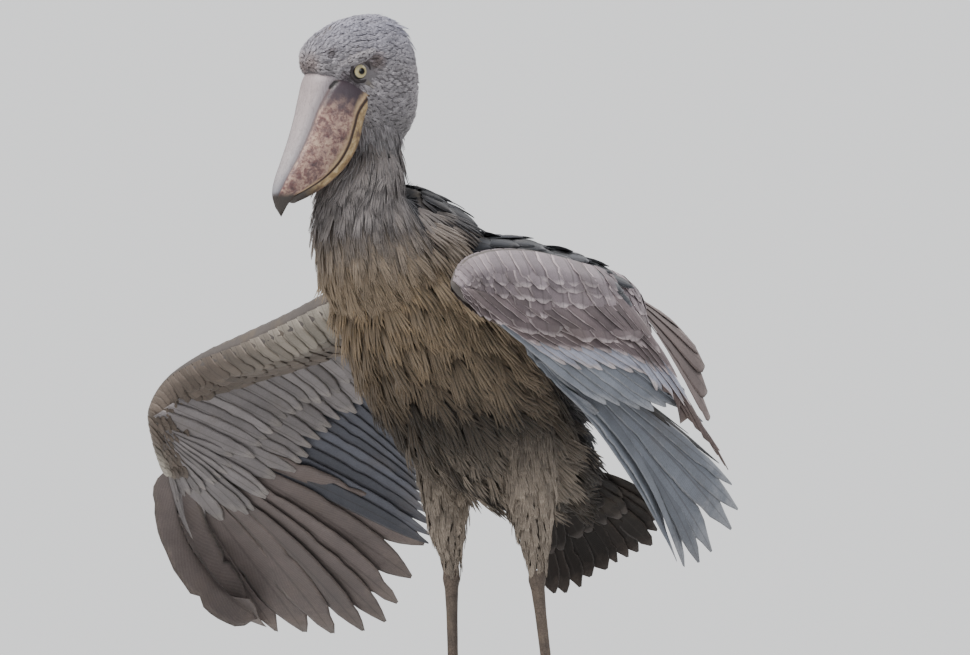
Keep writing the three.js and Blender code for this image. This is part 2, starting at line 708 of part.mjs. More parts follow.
function footSolid(side, grow) {
  const [x, y] = side > 0 ? FEET.left : FEET.right;
  const profile = [[0, 0], [17, 0], [19, 5], [17, 14], [12, 22], [0, 24]]
    .map(([radius, up]) => new THREE.Vector2(radius > 0 ? radius + grow : 0, up > 0 ? up + grow : 0));
  const pad = new THREE.LatheGeometry(profile, 16);
  pad.rotateX(Math.PI / 2);
  pad.translate(x, y, 0);
  return joined([manifoldOf(pad), ...TOES.map((toe) => toeSolid(side, toe, grow))]);
}

function clawSolid(side, toe) {
  const [x, y] = side > 0 ? FEET.left : FEET.right;
  const way = toeWay(side, toe.outward);
  const across = new THREE.Vector3(-way.y, way.x, 0);
  const steps = [0, 0.45, 1];
  const rings = steps.map((share) => {
    const radius = CLAW.radius * (1 - 0.8 * share);
    const centre = new THREE.Vector3(x, y, 0)
      .addScaledVector(way, toe.length - 4 + share * CLAW.length)
      .setZ(0.6 + radius + CLAW.drop * (1 - share) * share * 1.6);
    return Array.from({ length: 6 }, (_, index) => {
      const angle = (index / 6) * 2 * Math.PI;
      return centre.clone()
        .addScaledVector(across, radius * 0.8 * Math.cos(angle))
        .add(new THREE.Vector3(0, 0, radius * Math.sin(angle)));
    });
  });
  const start = new THREE.Vector3(x, y, 0).addScaledVector(way, toe.length - 7).setZ(4);
  const end = new THREE.Vector3(x, y, 0).addScaledVector(way, toe.length - 1 + CLAW.length).setZ(0.9);
  return loft(rings, start, end);
}

// Wings

// Share along the chord of an arm, and share of the arm's depth over and under it
const BLADE_SECTION = [
  [0, 0], [0.1, 0.75], [0.35, 1], [0.7, 0.62], [1, 0.2],
  [1, -0.2], [0.7, -0.55], [0.35, -0.85], [0.1, -0.65],
];

function bladeFrame(wing, share) {
  const lead = along(wing.lead, share);
  const trail = along(wing.trail, share);
  const chord = trail.clone().sub(lead);
  const near = Math.min(0.98, share);
  const span = along(wing.lead, near + 0.02).sub(along(wing.lead, near))
    .add(along(wing.trail, near + 0.02).sub(along(wing.trail, near)));
  const face = new THREE.Vector3().crossVectors(chord, span).normalize();
  if (face.dot(vector(wing.dorsal)) < 0) {
    face.negate();
  }
  const place = share * (wing.depth.length - 1);
  const base = Math.min(wing.depth.length - 2, Math.floor(place));
  const depth = THREE.MathUtils.lerp(wing.depth[base], wing.depth[base + 1], place - base);
  return { lead, chord, face, depth, outward: span.normalize() };
}

// The fleshy arm of a wing between two shares of its length
function blade(wing, from, to, steps, grow) {
  const rings = Array.from({ length: steps + 1 }, (_, step) => {
    const { lead, chord, face, depth } = bladeFrame(wing, from + (to - from) * (step / steps));
    const way = chord.clone().normalize();
    return BLADE_SECTION.map(([share, height]) => lead.clone()
      .addScaledVector(chord, share)
      .addScaledVector(way, share === 0 ? -grow : (share === 1 ? grow : 0))
      .addScaledVector(face, height * depth + Math.sign(height) * grow));
  });
  const middle = (ring) => ring.reduce((sum, p) => sum.add(p), new THREE.Vector3())
    .multiplyScalar(1 / ring.length);
  return loft(rings, middle(rings[0]), middle(rings[steps]));
}

// A place on the surface of a fan: share across it, reach from root to tip, height over it
function fanPlace(wing, fan, share, reach) {
  const at = (place) => {
    const root = along(fan.roots, place);
    const tip = along(fan.tips, place);
    return { root, tip, centre: root.clone().lerp(tip, reach) };
  };
  const { root, tip, centre } = at(share);
  const low = Math.max(0, share - 0.02);
  const high = Math.min(1, share + 0.02);
  const outward = at(high).centre.sub(at(low).centre);
  const span = outward.length() / (high - low);
  const way = tip.clone().sub(root);
  const length = way.length();
  const across = outward.addScaledVector(way, -outward.dot(way) / length ** 2).normalize();
  const face = new THREE.Vector3().crossVectors(way, across).normalize();
  if (face.dot(vector(wing.dorsal)) < 0) {
    face.negate();
  }
  const arc = 4 * reach * (1 - reach) * length;
  centre.addScaledVector(face, fan.bend * arc).addScaledVector(across, fan.bow * share ** 2 * arc);
  return { centre, face, across, span };
}

// A row of vanes on a fan. Each vane's outward edge lies over the next one by the same step.
// Heights over the fan go with the stations of the feather's outline.
function fanRow(wing, fan, row, grow) {
  const pitch = 1 / (row.whole ? row.count - 1 : row.count);
  return Array.from({ length: row.count }, (_, index) => {
    const share = (index + (row.whole ? 0 : 0.5)) * pitch;
    const end = row.end * (1 + (row.whole ? 0 : 0.1) * (draw(index + row.count * row.end) - 0.5));
    const rows = row.shape.map(([part, wide], place) => {
      const reach = row.start + (end - row.start) * part;
      const { span } = fanPlace(wing, fan, share, reach);
      const half = Math.min(wide * row.width / span, VANE_OVERLAP * pitch) / 2;
      const edge = (side) => {
        const { centre, face } = fanPlace(wing, fan, share + side * half, reach);
        const height = row.side * row.heights[place] + side * VANE_STEP * half / pitch;
        return [centre.addScaledVector(face, height), face];
      };
      const [[left, leftFace], [right, rightFace]] = [edge(-1), edge(1)];
      return { left, right, leftFace, rightFace };
    });
    return ribbon(rows, VANE_THICKNESS, grow);
  });
}

function flightFeathers(wing, fan, grow) {
  return fanRow(wing, fan, {
    side: 1, start: 0, end: 1, count: fan.count, width: fan.width, whole: true,
    shape: FLIGHT_SHAPE, heights: FLIGHT_SHAPE.map(() => fan.height),
  }, grow);
}

const GREATER_HEIGHTS = [4.5, 5.5, 6, 5.5];
const MEDIAN_HEIGHTS = [6, 10.5, 11, 10.5];

function greaterCoverts(wing, fan, side, count, end, grow) {
  return fanRow(wing, fan, {
    side, start: -0.04, end, count, width: fan.width, shape: COVERT_SHAPE, heights: GREATER_HEIGHTS,
  }, grow);
}

function medianCoverts(wing, fan, side, count, end, grow) {
  return fanRow(wing, fan, {
    side, start: -0.12, end, count, width: fan.width, shape: COVERT_SHAPE, heights: MEDIAN_HEIGHTS,
  }, grow);
}

// Height of an arm's surface at a share of its chord, as a share of its depth
function bladeHeight(chordShare, side) {
  const profile = [[0, 0], [0.1, 0.75], [0.35, 1], [0.7, 0.62], [1, 0.2], [1.6, -0.3]];
  const next = Math.max(1, profile.findIndex(([share]) => share >= chordShare));
  const [from, to] = [profile[next - 1], profile[next]];
  const share = (chordShare - from[0]) / (to[0] - from[0]);
  return (from[1] + share * (to[1] - from[1])) * (side > 0 ? 1 : 0.87);
}

const BLADE_LIFTS = [-5, 4, 8, 9];

// A row of small feathers that lies over the arm itself
function bladeRow(wing, row, grow) {
  const pitch = (row.to - row.from) / row.count;
  const place = (share, part, lift) => {
    const { lead, chord, face, depth } = bladeFrame(wing, share);
    const chordShare = row.chord + row.reach * part;
    const height = row.side * (depth * bladeHeight(chordShare, row.side) + row.rise * lift);
    return [lead.clone().addScaledVector(chord, chordShare).addScaledVector(face, height), face];
  };
  return Array.from({ length: row.count }, (_, index) => {
    const share = row.from + (index + 0.5) * pitch;
    const rows = COVERT_SHAPE.map(([part, wide], station) => {
      const lift = BLADE_LIFTS[station];
      const span = place(share + pitch / 2, part, lift)[0].distanceTo(place(share - pitch / 2, part, lift)[0]);
      const half = Math.min(wide * row.width / span, VANE_OVERLAP) * pitch / 2;
      const edge = (side) => {
        const [centre, face] = place(share + side * half, part, lift);
        return [centre.addScaledVector(face, side * VANE_STEP * half / pitch), face];
      };
      const [[left, leftFace], [right, rightFace]] = [edge(-1), edge(1)];
      return { left, right, leftFace, rightFace };
    });
    return ribbon(rows, VANE_THICKNESS, grow);
  });
}

// The right wing down to its wrist
function rightArm(grow) {
  const [inner] = RIGHT_WING.fans;
  const pieces = [
    blade(RIGHT_WING, 0, RIGHT_WRIST, 10, grow),
    ...flightFeathers(RIGHT_WING, inner, grow),
  ];
  for (const side of [1, -1]) {
    pieces.push(
      ...greaterCoverts(RIGHT_WING, inner, side, 6, 0.42, grow),
      ...bladeRow(RIGHT_WING, {
        side, from: 0.18, to: RIGHT_WRIST - 0.04, chord: 0.5, reach: 0.7, rise: 1.3, count: 5, width: 80,
      }, grow),
    );
  }
  return joined(pieces);
}

// The right wing beyond its wrist, with the primaries
function rightHand(grow) {
  const [, outer] = RIGHT_WING.fans;
  return joined([
    blade(RIGHT_WING, RIGHT_WRIST - HAND_SEAT, HAND_END, 6, grow),
    ...flightFeathers(RIGHT_WING, outer, grow),
    ...greaterCoverts(RIGHT_WING, outer, 1, 3, 0.36, grow),
    ...greaterCoverts(RIGHT_WING, outer, -1, 3, 0.36, grow),
  ]);
}

// The left wing down to its wrist
function leftArm(grow) {
  const [humeral, inner] = LEFT_WING.fans;
  return joined([
    blade(LEFT_WING, 0, 1, 10, grow),
    roundBody(LEFT_HUMERUS, 5, 11, 0.3, grow),
    ...flightFeathers(LEFT_WING, humeral, grow),
    ...flightFeathers(LEFT_WING, inner, grow),
    ...greaterCoverts(LEFT_WING, inner, 1, 6, 0.58, grow),
    ...medianCoverts(LEFT_WING, inner, 1, 6, 0.34, grow),
    ...bladeRow(LEFT_WING, {
      side: 1, from: 0.04, to: 0.94, chord: 0.5, reach: 0.74, rise: 1.5, count: 6, width: 76,
    }, grow),
    ...bladeRow(LEFT_WING, {
      side: 1, from: 0.06, to: 0.92, chord: 0.14, reach: 0.6, rise: 0.9, count: 5, width: 80,
    }, grow),
  ]);
}

// The left wing beyond its wrist, folded back under the arm
function leftHand(grow) {
  const [, , outer] = LEFT_WING.fans;
  return joined([
    roundBody(LEFT_HAND, 7, 10, 0.5, grow),
    ...flightFeathers(LEFT_WING, outer, grow),
    ...greaterCoverts(LEFT_WING, outer, -1, 3, 0.36, grow),
  ]);
}

// Tail

const TAIL_CORE = [
  { x: 0, y: 142, z: 388, deep: 36, wide: 44 },
  { x: 0, y: 176, z: 368, deep: 24, wide: 44 },
  { x: 0, y: 212, z: 348, deep: 13, wide: 42 },
  { x: 0, y: 242, z: 330, deep: 6, wide: 34 },
];

function tailSolid(grow) {
  const over = { start: 0.2, shape: COVERT_SHAPE, width: TAIL.width, heights: GREATER_HEIGHTS };
  return joined([
    roundBody(TAIL_CORE, 6, 12, 0.3, grow),
    ...flightFeathers(TAIL, TAIL, grow),
    ...fanRow(TAIL, TAIL, { ...over, side: 1, end: 0.64, count: 3 }, grow),
    ...fanRow(TAIL, TAIL, { ...over, side: -1, end: 0.6, count: 3 }, grow),
  ]);
}

// Materials

const FINISHES = {
  plumage: { color: 0x8b8178, roughness: 0.9 },
  slate: { color: 0x6f7077, roughness: 0.85 },
  head: { color: 0x9b98a0, roughness: 0.9 },
  bill: { color: 0xc3a087, roughness: 0.5 },
  lowerBill: { color: 0xc79a5b, roughness: 0.5 },
  eye: { color: 0xd9d4b0, roughness: 0.1 },
  shank: { color: 0x5d4f46, roughness: 0.75 },
  claw: { color: 0x2e2926, roughness: 0.4 },
};

function finish(name) {
  return new THREE.MeshStandardMaterial({ ...FINISHES[name], metalness: 0 });
}

// The model

const bird = new THREE.Group();
bird.position.set(-FEET.left[0], -FEET.left[1], 0);

function addPart(name, manifold, finishName) {
  const { vertProperties, triVerts } = largestBody(manifold).getMesh();
  const geometry = new THREE.BufferGeometry();
  geometry.setAttribute('position', new THREE.BufferAttribute(new Float32Array(vertProperties), 3));
  geometry.setIndex(new THREE.BufferAttribute(new Uint32Array(triVerts), 1));
  const mesh = new THREE.Mesh(geometry, finish(finishName));
  mesh.name = name;
  bird.add(mesh);
}

const torsoClear = torsoSolid(GAP);
const headClear = headSolid(GAP);
const upperClear = upperBillCore(GAP);
const lowerClear = lowerBillCore(GAP);

addPart('torso', torsoSolid(0), 'plumage');
addPart(
  'neck',
  neckSolid(0).subtract(torsoClear).subtract(headClear).subtract(upperClear).subtract(lowerClear),
  'plumage',
);
addPart('head', headSolid(0).subtract(eyeBall(1, GAP)).subtract(eyeBall(-1, GAP)), 'head');
addPart('left_eye', eyeBall(1, 0), 'eye');
addPart('right_eye', eyeBall(-1, 0), 'eye');
addPart('upper_bill', upperBill(), 'bill');
addPart('lower_bill', lowerBillCore(0).subtract(headClear).subtract(upperClear), 'lowerBill');
addPart('right_wing', rightArm(0).subtract(torsoClear).subtract(neckSolid(GAP)), 'slate');
addPart('right_hand', rightHand(0).subtract(rightArm(GAP)), 'slate');
addPart('left_wing', leftArm(0).subtract(torsoClear).subtract(neckSolid(GAP)), 'slate');
addPart('left_hand', leftHand(0).subtract(leftArm(GAP)).subtract(torsoClear), 'slate');
addPart('tail', tailSolid(0).subtract(torsoClear), 'slate');

for (const [name, side] of [['left', 1], ['right', -1]]) {
  addPart(`${name}_thigh`, thighSolid(side, 0).subtract(torsoClear), 'plumage');
  addPart(`${name}_shank`, shankSolid(side, 0).subtract(thighSolid(side, GAP)), 'shank');
  const foot = footSolid(side, 0).subtract(shankSolid(side, GAP));
  addPart(`${name}_foot`, foot, 'shank');
  for (const toe of TOES) {
    addPart(`${name}_claw_${toe.name}`, clawSolid(side, toe).subtract(footSolid(side, GAP)), 'claw');
  }
}

export default bird;
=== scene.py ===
"""Looks of a life-size shoebill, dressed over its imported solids."""

import logging
import math
from collections.abc import Callable
from dataclasses import dataclass, field
from enum import Enum
from functools import partial

import bmesh
import bpy
import numpy as np
from mathutils import Matrix, Vector

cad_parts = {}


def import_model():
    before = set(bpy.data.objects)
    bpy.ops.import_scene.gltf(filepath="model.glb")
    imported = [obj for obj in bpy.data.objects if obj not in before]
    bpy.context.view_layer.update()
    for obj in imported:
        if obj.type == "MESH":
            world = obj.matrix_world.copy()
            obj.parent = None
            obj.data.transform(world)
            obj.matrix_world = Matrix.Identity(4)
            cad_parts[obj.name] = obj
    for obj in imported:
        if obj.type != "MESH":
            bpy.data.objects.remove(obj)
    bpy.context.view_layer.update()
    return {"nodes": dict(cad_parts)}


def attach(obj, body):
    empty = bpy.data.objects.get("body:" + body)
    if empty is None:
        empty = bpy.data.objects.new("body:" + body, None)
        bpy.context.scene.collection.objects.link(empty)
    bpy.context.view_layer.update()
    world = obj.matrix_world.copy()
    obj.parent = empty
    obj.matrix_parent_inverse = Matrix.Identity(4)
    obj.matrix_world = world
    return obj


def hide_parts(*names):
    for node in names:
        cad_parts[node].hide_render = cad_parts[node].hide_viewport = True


LOG = logging.getLogger("shoebill")
MM = 0.001
FEET_FROM_BODY = np.array([-0.119, 0.007, 0.0])     # the frame's origin is the left sole
HEAD_CENTRE = np.array([0.0, -310.0, 985.0])
HEAD_TURN = math.radians(15.0)
SEED = 7
TUFT_PATCH = 0.003          # side of a tuft's patch on the unwrap of the skin
LINE_STEPS = 40             # steps along a part's middle line, for the unwrap
HEAD_REACH = 75.0           # rough radius of the head, in millimetres

Rows = tuple[tuple[float, ...], ...]
Colour = tuple[float, float, float]
Tones = tuple[np.ndarray, np.ndarray]
Face = tuple[int, ...]
Surface = Callable[[float, float], tuple[np.ndarray, np.ndarray]]
Dress = Callable[[float], Tones]


class Finish(Enum):
    """Names of the finishes that the pieces wear."""

    SKIN = "down_and_skin"
    BODY = "body_feathers"
    SLATE = "slate_feathers"
    COVERT = "covert_feathers"
    HORN = "bill_horn"
    LOWER_HORN = "lower_bill_horn"
    EYE = "eye"
    LID = "eyelid_skin"
    LEG = "leg_scales"
    CLAW = "claw_horn"
    FLOOR = "studio_floor"


def to_frame(points: np.ndarray) -> np.ndarray:
    """Turns millimetres from the bird's own middle into metres of the shared frame."""
    return np.asarray(points, dtype=float) * MM + FEET_FROM_BODY


def catmull(points: np.ndarray, share: float) -> np.ndarray:
    """Finds a place on a centripetal curve through points, carried on straight past its ends.

    Args:
        points: The points, one a row.
        share: Place along the curve, 0 at its first point and 1 at its last.

    Returns:
        The point at that place.
    """
    within = min(1.0, max(0.0, share))
    if within != share:
        near = 0.001 if share < within else 0.999
        end = catmull(points, within)
        slope = (end - catmull(points, near)) / (within - near)
        return end + slope * (share - within)
    count = len(points)
    place = (count - 1) * within
    base = min(int(place), count - 2)
    weight = place - base
    p1, p2 = points[base], points[base + 1]
    p0 = points[base - 1] if base > 0 else 2 * p1 - p2
    p3 = points[base + 2] if base + 2 < count else 2 * p2 - p1
    steps = [max(1e-4, float(np.sum((b - a) ** 2))) ** 0.25 for a, b in ((p0, p1), (p1, p2), (p2, p3))]
    lean_1 = ((p1 - p0) / steps[0] - (p2 - p0) / (steps[0] + steps[1]) + (p2 - p1) / steps[1]) * steps[1]
    lean_2 = ((p2 - p1) / steps[1] - (p3 - p1) / (steps[1] + steps[2]) + (p3 - p2) / steps[2]) * steps[1]
    cubic = 2 * p1 - 2 * p2 + lean_1 + lean_2
    square = -3 * p1 + 3 * p2 - 2 * lean_1 - lean_2
    return p1 + weight * (lean_1 + weight * (square + weight * cubic))


def between(stations: Rows, share: float) -> np.ndarray:
    """Interpolates rows of sizes smoothly, held at the first and the last.

    Args:
        stations: The rows.
        share: Place along them, 0 at the first and 1 at the last.

    Returns:
        The row at that place.
    """
    rows = np.array(stations, dtype=float)
    last = len(rows) - 1
    place = min(1.0, max(0.0, share)) * last
    base = min(last - 1, int(place))
    t = place - base
    a, b, c, d = (rows[min(last, max(0, base + step))] for step in (-1, 0, 1, 2))
    return b + 0.5 * t * (c - a + t * (2 * a - 5 * b + 4 * c - d + t * (3 * (b - c) + d - a)))


def unit(vector: np.ndarray) -> np.ndarray:
    """Gives a vector's direction."""
    return vector / max(1e-9, float(np.linalg.norm(vector)))


def linked(name: str, data: bpy.types.ID) -> bpy.types.Object:
    """Makes an object of its data and links it to the scene."""
    made = bpy.data.objects.new(name, data)
    bpy.context.scene.collection.objects.link(made)
    return made


def new_object(name: str, points: np.ndarray, faces: list[Face]) -> bpy.types.Object:
    """Makes a smooth mesh object and links it to the scene.

    Args:
        name: Its name.
        points: Its points in metres.
        faces: Its faces.

    Returns:
        The object.
    """
    mesh = bpy.data.meshes.new(name)
    mesh.from_pydata([tuple(p) for p in points], [], faces)
    mesh.update()
    mesh.polygons.foreach_set("use_smooth", [True] * len(mesh.polygons))
    return linked(name, mesh)


def plain_copy(source: bpy.types.Object, name: str) -> bpy.types.Object:
    """Turns an object and its modifiers into one plain mesh object and removes the first.

    Args:
        source: Object with live modifiers.
        name: Name of the new object.

    Returns:
        The plain object.
    """
    graph = bpy.context.evaluated_depsgraph_get()
    mesh = bpy.data.meshes.new_from_object(source.evaluated_get(graph))
    made = linked(name, mesh)
    bpy.data.objects.remove(source)
    mesh.name = name
    mesh.polygons.foreach_set("use_smooth", [True] * len(mesh.polygons))
    return made


def even_surface(source: bpy.types.Object, name: str, voxel: float, rounds: int,
                 finish: bpy.types.Material) -> bpy.types.Object:
    """Draws one even, rounded skin round closed meshes.

    Args:
        source: Object of one or more closed meshes.
        name: Name of the new object.
        voxel: Size of its faces, in metres.
        rounds: How often it is smoothed.
        finish: Its material.

    Returns:
        The plain object.
    """
    remesh = source.modifiers.new("even", "REMESH")
    remesh.mode = "VOXEL"
    remesh.voxel_size = voxel
    smooth = source.modifiers.new("round", "SMOOTH")
    smooth.factor = 0.6
    smooth.iterations = rounds
    made = plain_copy(source, name)
    made.data.materials.clear()
    made.data.materials.append(finish)
    return made


def turn_outwards(made: bpy.types.Object) -> None:
    """Turns the faces of an object's closed meshes outwards."""
    work = bmesh.new()
    work.from_mesh(made.data)
    bmesh.ops.recalc_face_normals(work, faces=work.faces)
    work.to_mesh(made.data)
    work.free()


def store_colour(mesh: bpy.types.Mesh, name: str, values: np.ndarray) -> None:
    """Keeps a colour for each vertex under a name."""
    layer = mesh.attributes.new(name, "FLOAT_COLOR", "POINT")
    packed = np.ones((len(mesh.vertices), 4), dtype=np.float32)
    packed[:, :3] = np.clip(values, 0.0, 1.0)
    layer.data.foreach_set("color", packed.ravel())


def store_vector(mesh: bpy.types.Mesh, name: str, values: np.ndarray) -> None:
    """Keeps a vector for each vertex under a name."""
    layer = mesh.attributes.new(name, "FLOAT_VECTOR", "POINT")
    layer.data.foreach_set("vector", np.asarray(values, dtype=np.float32).ravel())


def read_vector(mesh: bpy.types.Mesh, name: str) -> np.ndarray:
    """Reads back a vector for each vertex."""
    values = np.zeros(len(mesh.vertices) * 3, dtype=np.float32)
    mesh.attributes[name].data.foreach_get("vector", values)
    return values.reshape(-1, 3)


def bake_map(mesh: bpy.types.Mesh, places: np.ndarray) -> None:
    """Writes the OFBake map from a place for each vertex."""
    corners = np.zeros(len(mesh.loops), dtype=np.int32)
    mesh.loops.foreach_get("vertex_index", corners)
    layer = mesh.uv_layers.get("OFBake") or mesh.uv_layers.new(name="OFBake")
    flat = np.clip(places[corners][:, :2], 0.001, 0.999).astype(np.float32)
    layer.data.foreach_set("uv", flat.ravel())
    mesh.uv_layers.active = layer


def blend(low: np.ndarray, high: np.ndarray, share: np.ndarray | float) -> np.ndarray:
    """Mixes two colours or values, held between them.

    Args:
        low: Value at no share.
        high: Value at a whole share.
        share: How much of the second, one number or an array of them.

    Returns:
        The mixed value.
    """
    share = np.clip(share, 0.0, 1.0)
    share = np.asarray(share)[..., None] if np.ndim(low) and np.ndim(share) else share
    return np.asarray(low) * (1 - share) + np.asarray(high) * share


@dataclass(frozen=True)
class RoundBody:
    """A round part of the bird along stations of place, depth and half width, in millimetres."""

    stations: Rows
    near: float = 0.02

    def station(self, share: float) -> np.ndarray:
        """Interpolates place, depth and half width at a share of the length."""
        return between(self.stations, share)

    def axes(self, share: float) -> tuple[np.ndarray, np.ndarray, np.ndarray]:
        """Gives the ways along the body, across it and out of its front or belly."""
        ahead, behind = min(1.0, share + self.near), max(0.0, share - self.near)
        way = unit(self.station(ahead)[:3] - self.station(behind)[:3])
        across = unit(np.array([1.0, 0.0, 0.0]) - way * way[0])
        return way, across, np.cross(way, across)

    def point(self, share: float, degrees: float, height: float = 0.0) -> np.ndarray:
        """Finds a place on the body, in millimetres.

        Args:
            share: Place along the body.
            degrees: Angle round it, 90 at the front or belly and 270 at the back.
            height: Height over its surface.

        Returns:
            The place.
        """
        row = self.station(share)
        _, across, front = self.axes(share)
        angle = math.radians(degrees)
        return (row[:3] + across * (row[4] + height) * math.cos(angle)
                + front * (row[3] + height) * math.sin(angle))



@dataclass(frozen=True)
class HeadForm:
    """The head's core from sections of forward place, top, bottom and half width."""

    sections: Rows = (
        (-88, 8, -66, 22), (-80, 40, -88, 35), (-62, 66, -108, 46), (-36, 78, -118, 53),
        (-8, 79, -110, 55), (20, 74, -80, 52), (45, 65, -46, 48), (67, 52, -24, 41),
        (84, 37, -10, 30), (93, 24, 4, 14),
    )
    roundness: float = 0.88
    back_pole: tuple[float, float] = (-92.0, -28.0)
    front_pole: tuple[float, float] = (97.0, 14.0)

    @staticmethod
    def place(ahead: float, out: float, up: float) -> np.ndarray:
        """Finds a place from the head's own middle.

        Args:
            ahead: Millimetres forward.
            out: Millimetres to the left.
            up: Millimetres up.

        Returns:
            The place.
        """
        forward = np.array([-math.sin(HEAD_TURN), -math.cos(HEAD_TURN), 0.0])
        left = np.array([math.cos(HEAD_TURN), -math.sin(HEAD_TURN), 0.0])
        return HEAD_CENTRE + forward * ahead + left * out + np.array([0.0, 0.0, up])

    def section(self, share: float) -> np.ndarray:
        """Interpolates a section at a share of the way from the nape to the forehead."""
        return between(self.sections, share)

    def point(self, share: float, degrees: float, height: float = 0.0) -> np.ndarray:
        """Finds a place on the head.

        Args:
            share: Place along it, from the nape.
            degrees: Angle round it, 90 at the crown.
            height: Height over its core, in millimetres.

        Returns:
            The place.
        """
        ahead, top, bottom, wide = self.section(share)
        angle = math.radians(degrees)
        side, up = math.cos(angle), math.sin(angle)
        rounded = [math.copysign(abs(value) ** self.roundness, value) for value in (side, up)]
        tall = (top - bottom) / 2 + height
        return self.place(ahead, (wide + height) * rounded[0], (top + bottom) / 2 + tall * rounded[1])



def rings_of(form: RoundBody | HeadForm, steps: int, sides: int, height: float) -> np.ndarray:
    """Gives rings of points along a form.

    Args:
        form: The body or head.
        steps: Steps along it.
        sides: Points of a ring.
        height: Height over its surface, in millimetres.

    Returns:
        The points, ring by ring.
    """
    return np.array([[form.point(step / steps, 360 * side / sides, height) for side in range(sides)]
                     for step in range(steps + 1)])


def loft(rings: np.ndarray, first: np.ndarray, last: np.ndarray) -> tuple[np.ndarray, list[Face]]:
    """Joins rings of points into a closed surface with a pole at each end.

    Args:
        rings: Rings of equal point count.
        first: Pole before the first ring.
        last: Pole after the last ring.

    Returns:
        Points and faces.
    """
    count, sides = rings.shape[:2]
    points = np.vstack([rings.reshape(-1, 3), first, last])
    faces: list[Face] = []
    for ring in range(count - 1):
        for side in range(sides):
            near, far = ring * sides + side, ring * sides + (side + 1) % sides
            faces.append((near, far, far + sides, near + sides))
    end = (count - 1) * sides
    for side in range(sides):
        faces.append((side, len(points) - 2, (side + 1) % sides))
        faces.append((end + side, end + (side + 1) % sides, len(points) - 1))
    return points, faces


def capped(rings: np.ndarray) -> tuple[np.ndarray, list[Face]]:
    """Joins rings into a surface closed at the middle of its first and last ring."""
    return loft(rings, rings[0].mean(axis=0), rings[-1].mean(axis=0))


TORSO = RoundBody((
    (0, -257, 775, 67, 64), (0, -221, 730, 101, 95), (0, -179, 669, 125, 117),
    (0, -126, 597, 133, 127), (0, -60, 527, 129, 125), (0, 8, 467, 108, 112),
    (0, 76, 423, 86, 94), (0, 132, 391, 58, 70), (0, 170, 368, 30, 42), (0, 214, 346, 15, 40),
))
NECK = RoundBody((
    (-5, -300, 950, 38, 38), (0, -290, 912, 42, 44), (0, -285, 870, 42, 47), (0, -290, 835, 53, 54),
    (0, -299, 800, 66, 61), (0, -293, 765, 77, 72), (0, -270, 722, 88, 84), (0, -240, 690, 84, 84),
))
LEFT_SHOULDER = RoundBody((
    (66, -150, 684, 62, 50), (130, -118, 682, 52, 38), (190, -70, 674, 38, 27), (228, -24, 660, 24, 20),
))
LEFT_HAND = RoundBody((
    (198, -314, 682, 22, 18), (192, -280, 660, 20, 15), (189, -230, 632, 16, 11),
    (188, -180, 606, 11, 8), (188, -146, 588, 6, 5),
))
ANKLES = {"left": (95.0, -18.0), "right": (-69.0, -18.0)}
HIP_HEIGHT = 500.0
THIGH_ROWS: Rows = (
    (76, -34, 500, 54, 40), (80, -26, 440, 48, 39), (82, -16, 372, 38, 34), (82, -11, 318, 29, 26),
    (82, -5, 278, 19, 17), (82, -3, 254, 14, 12.5),
)


def thigh(side: str) -> RoundBody:
    """Makes the feathered leg of one side, leaning from the hip to its ankle.

    Args:
        side: Left or right.

    Returns:
        The leg's form.
    """
    sign = 1 if side == "left" else -1
    low = THIGH_ROWS[-1]
    rows = []
    for x, y, z, deep, wide in THIGH_ROWS:
        drop = (HIP_HEIGHT - z) / (HIP_HEIGHT - low[2])
        rows.append((sign * x + drop * (ANKLES[side][0] - sign * low[0]),
                     y + drop * (ANKLES[side][1] - low[1]), z, deep, wide))
    return RoundBody(tuple(rows))


HEAD = HeadForm()
BROW_ROWS: Rows = (
    (2, 46, 27, 3, 3), (14, 48.5, 22, 6, 6), (28, 49, 16.5, 7.5, 7), (42, 46, 11.5, 7, 7),
    (56, 40, 6, 5.5, 6), (68, 33, 1, 3, 3),
)
BROWS = {side: RoundBody(tuple((*HEAD.place(ahead, side * out, up), deep, wide)
                               for ahead, out, up, deep, wide in BROW_ROWS)) for side in (1, -1)}
THIGHS = (thigh("left"), thigh("right"))


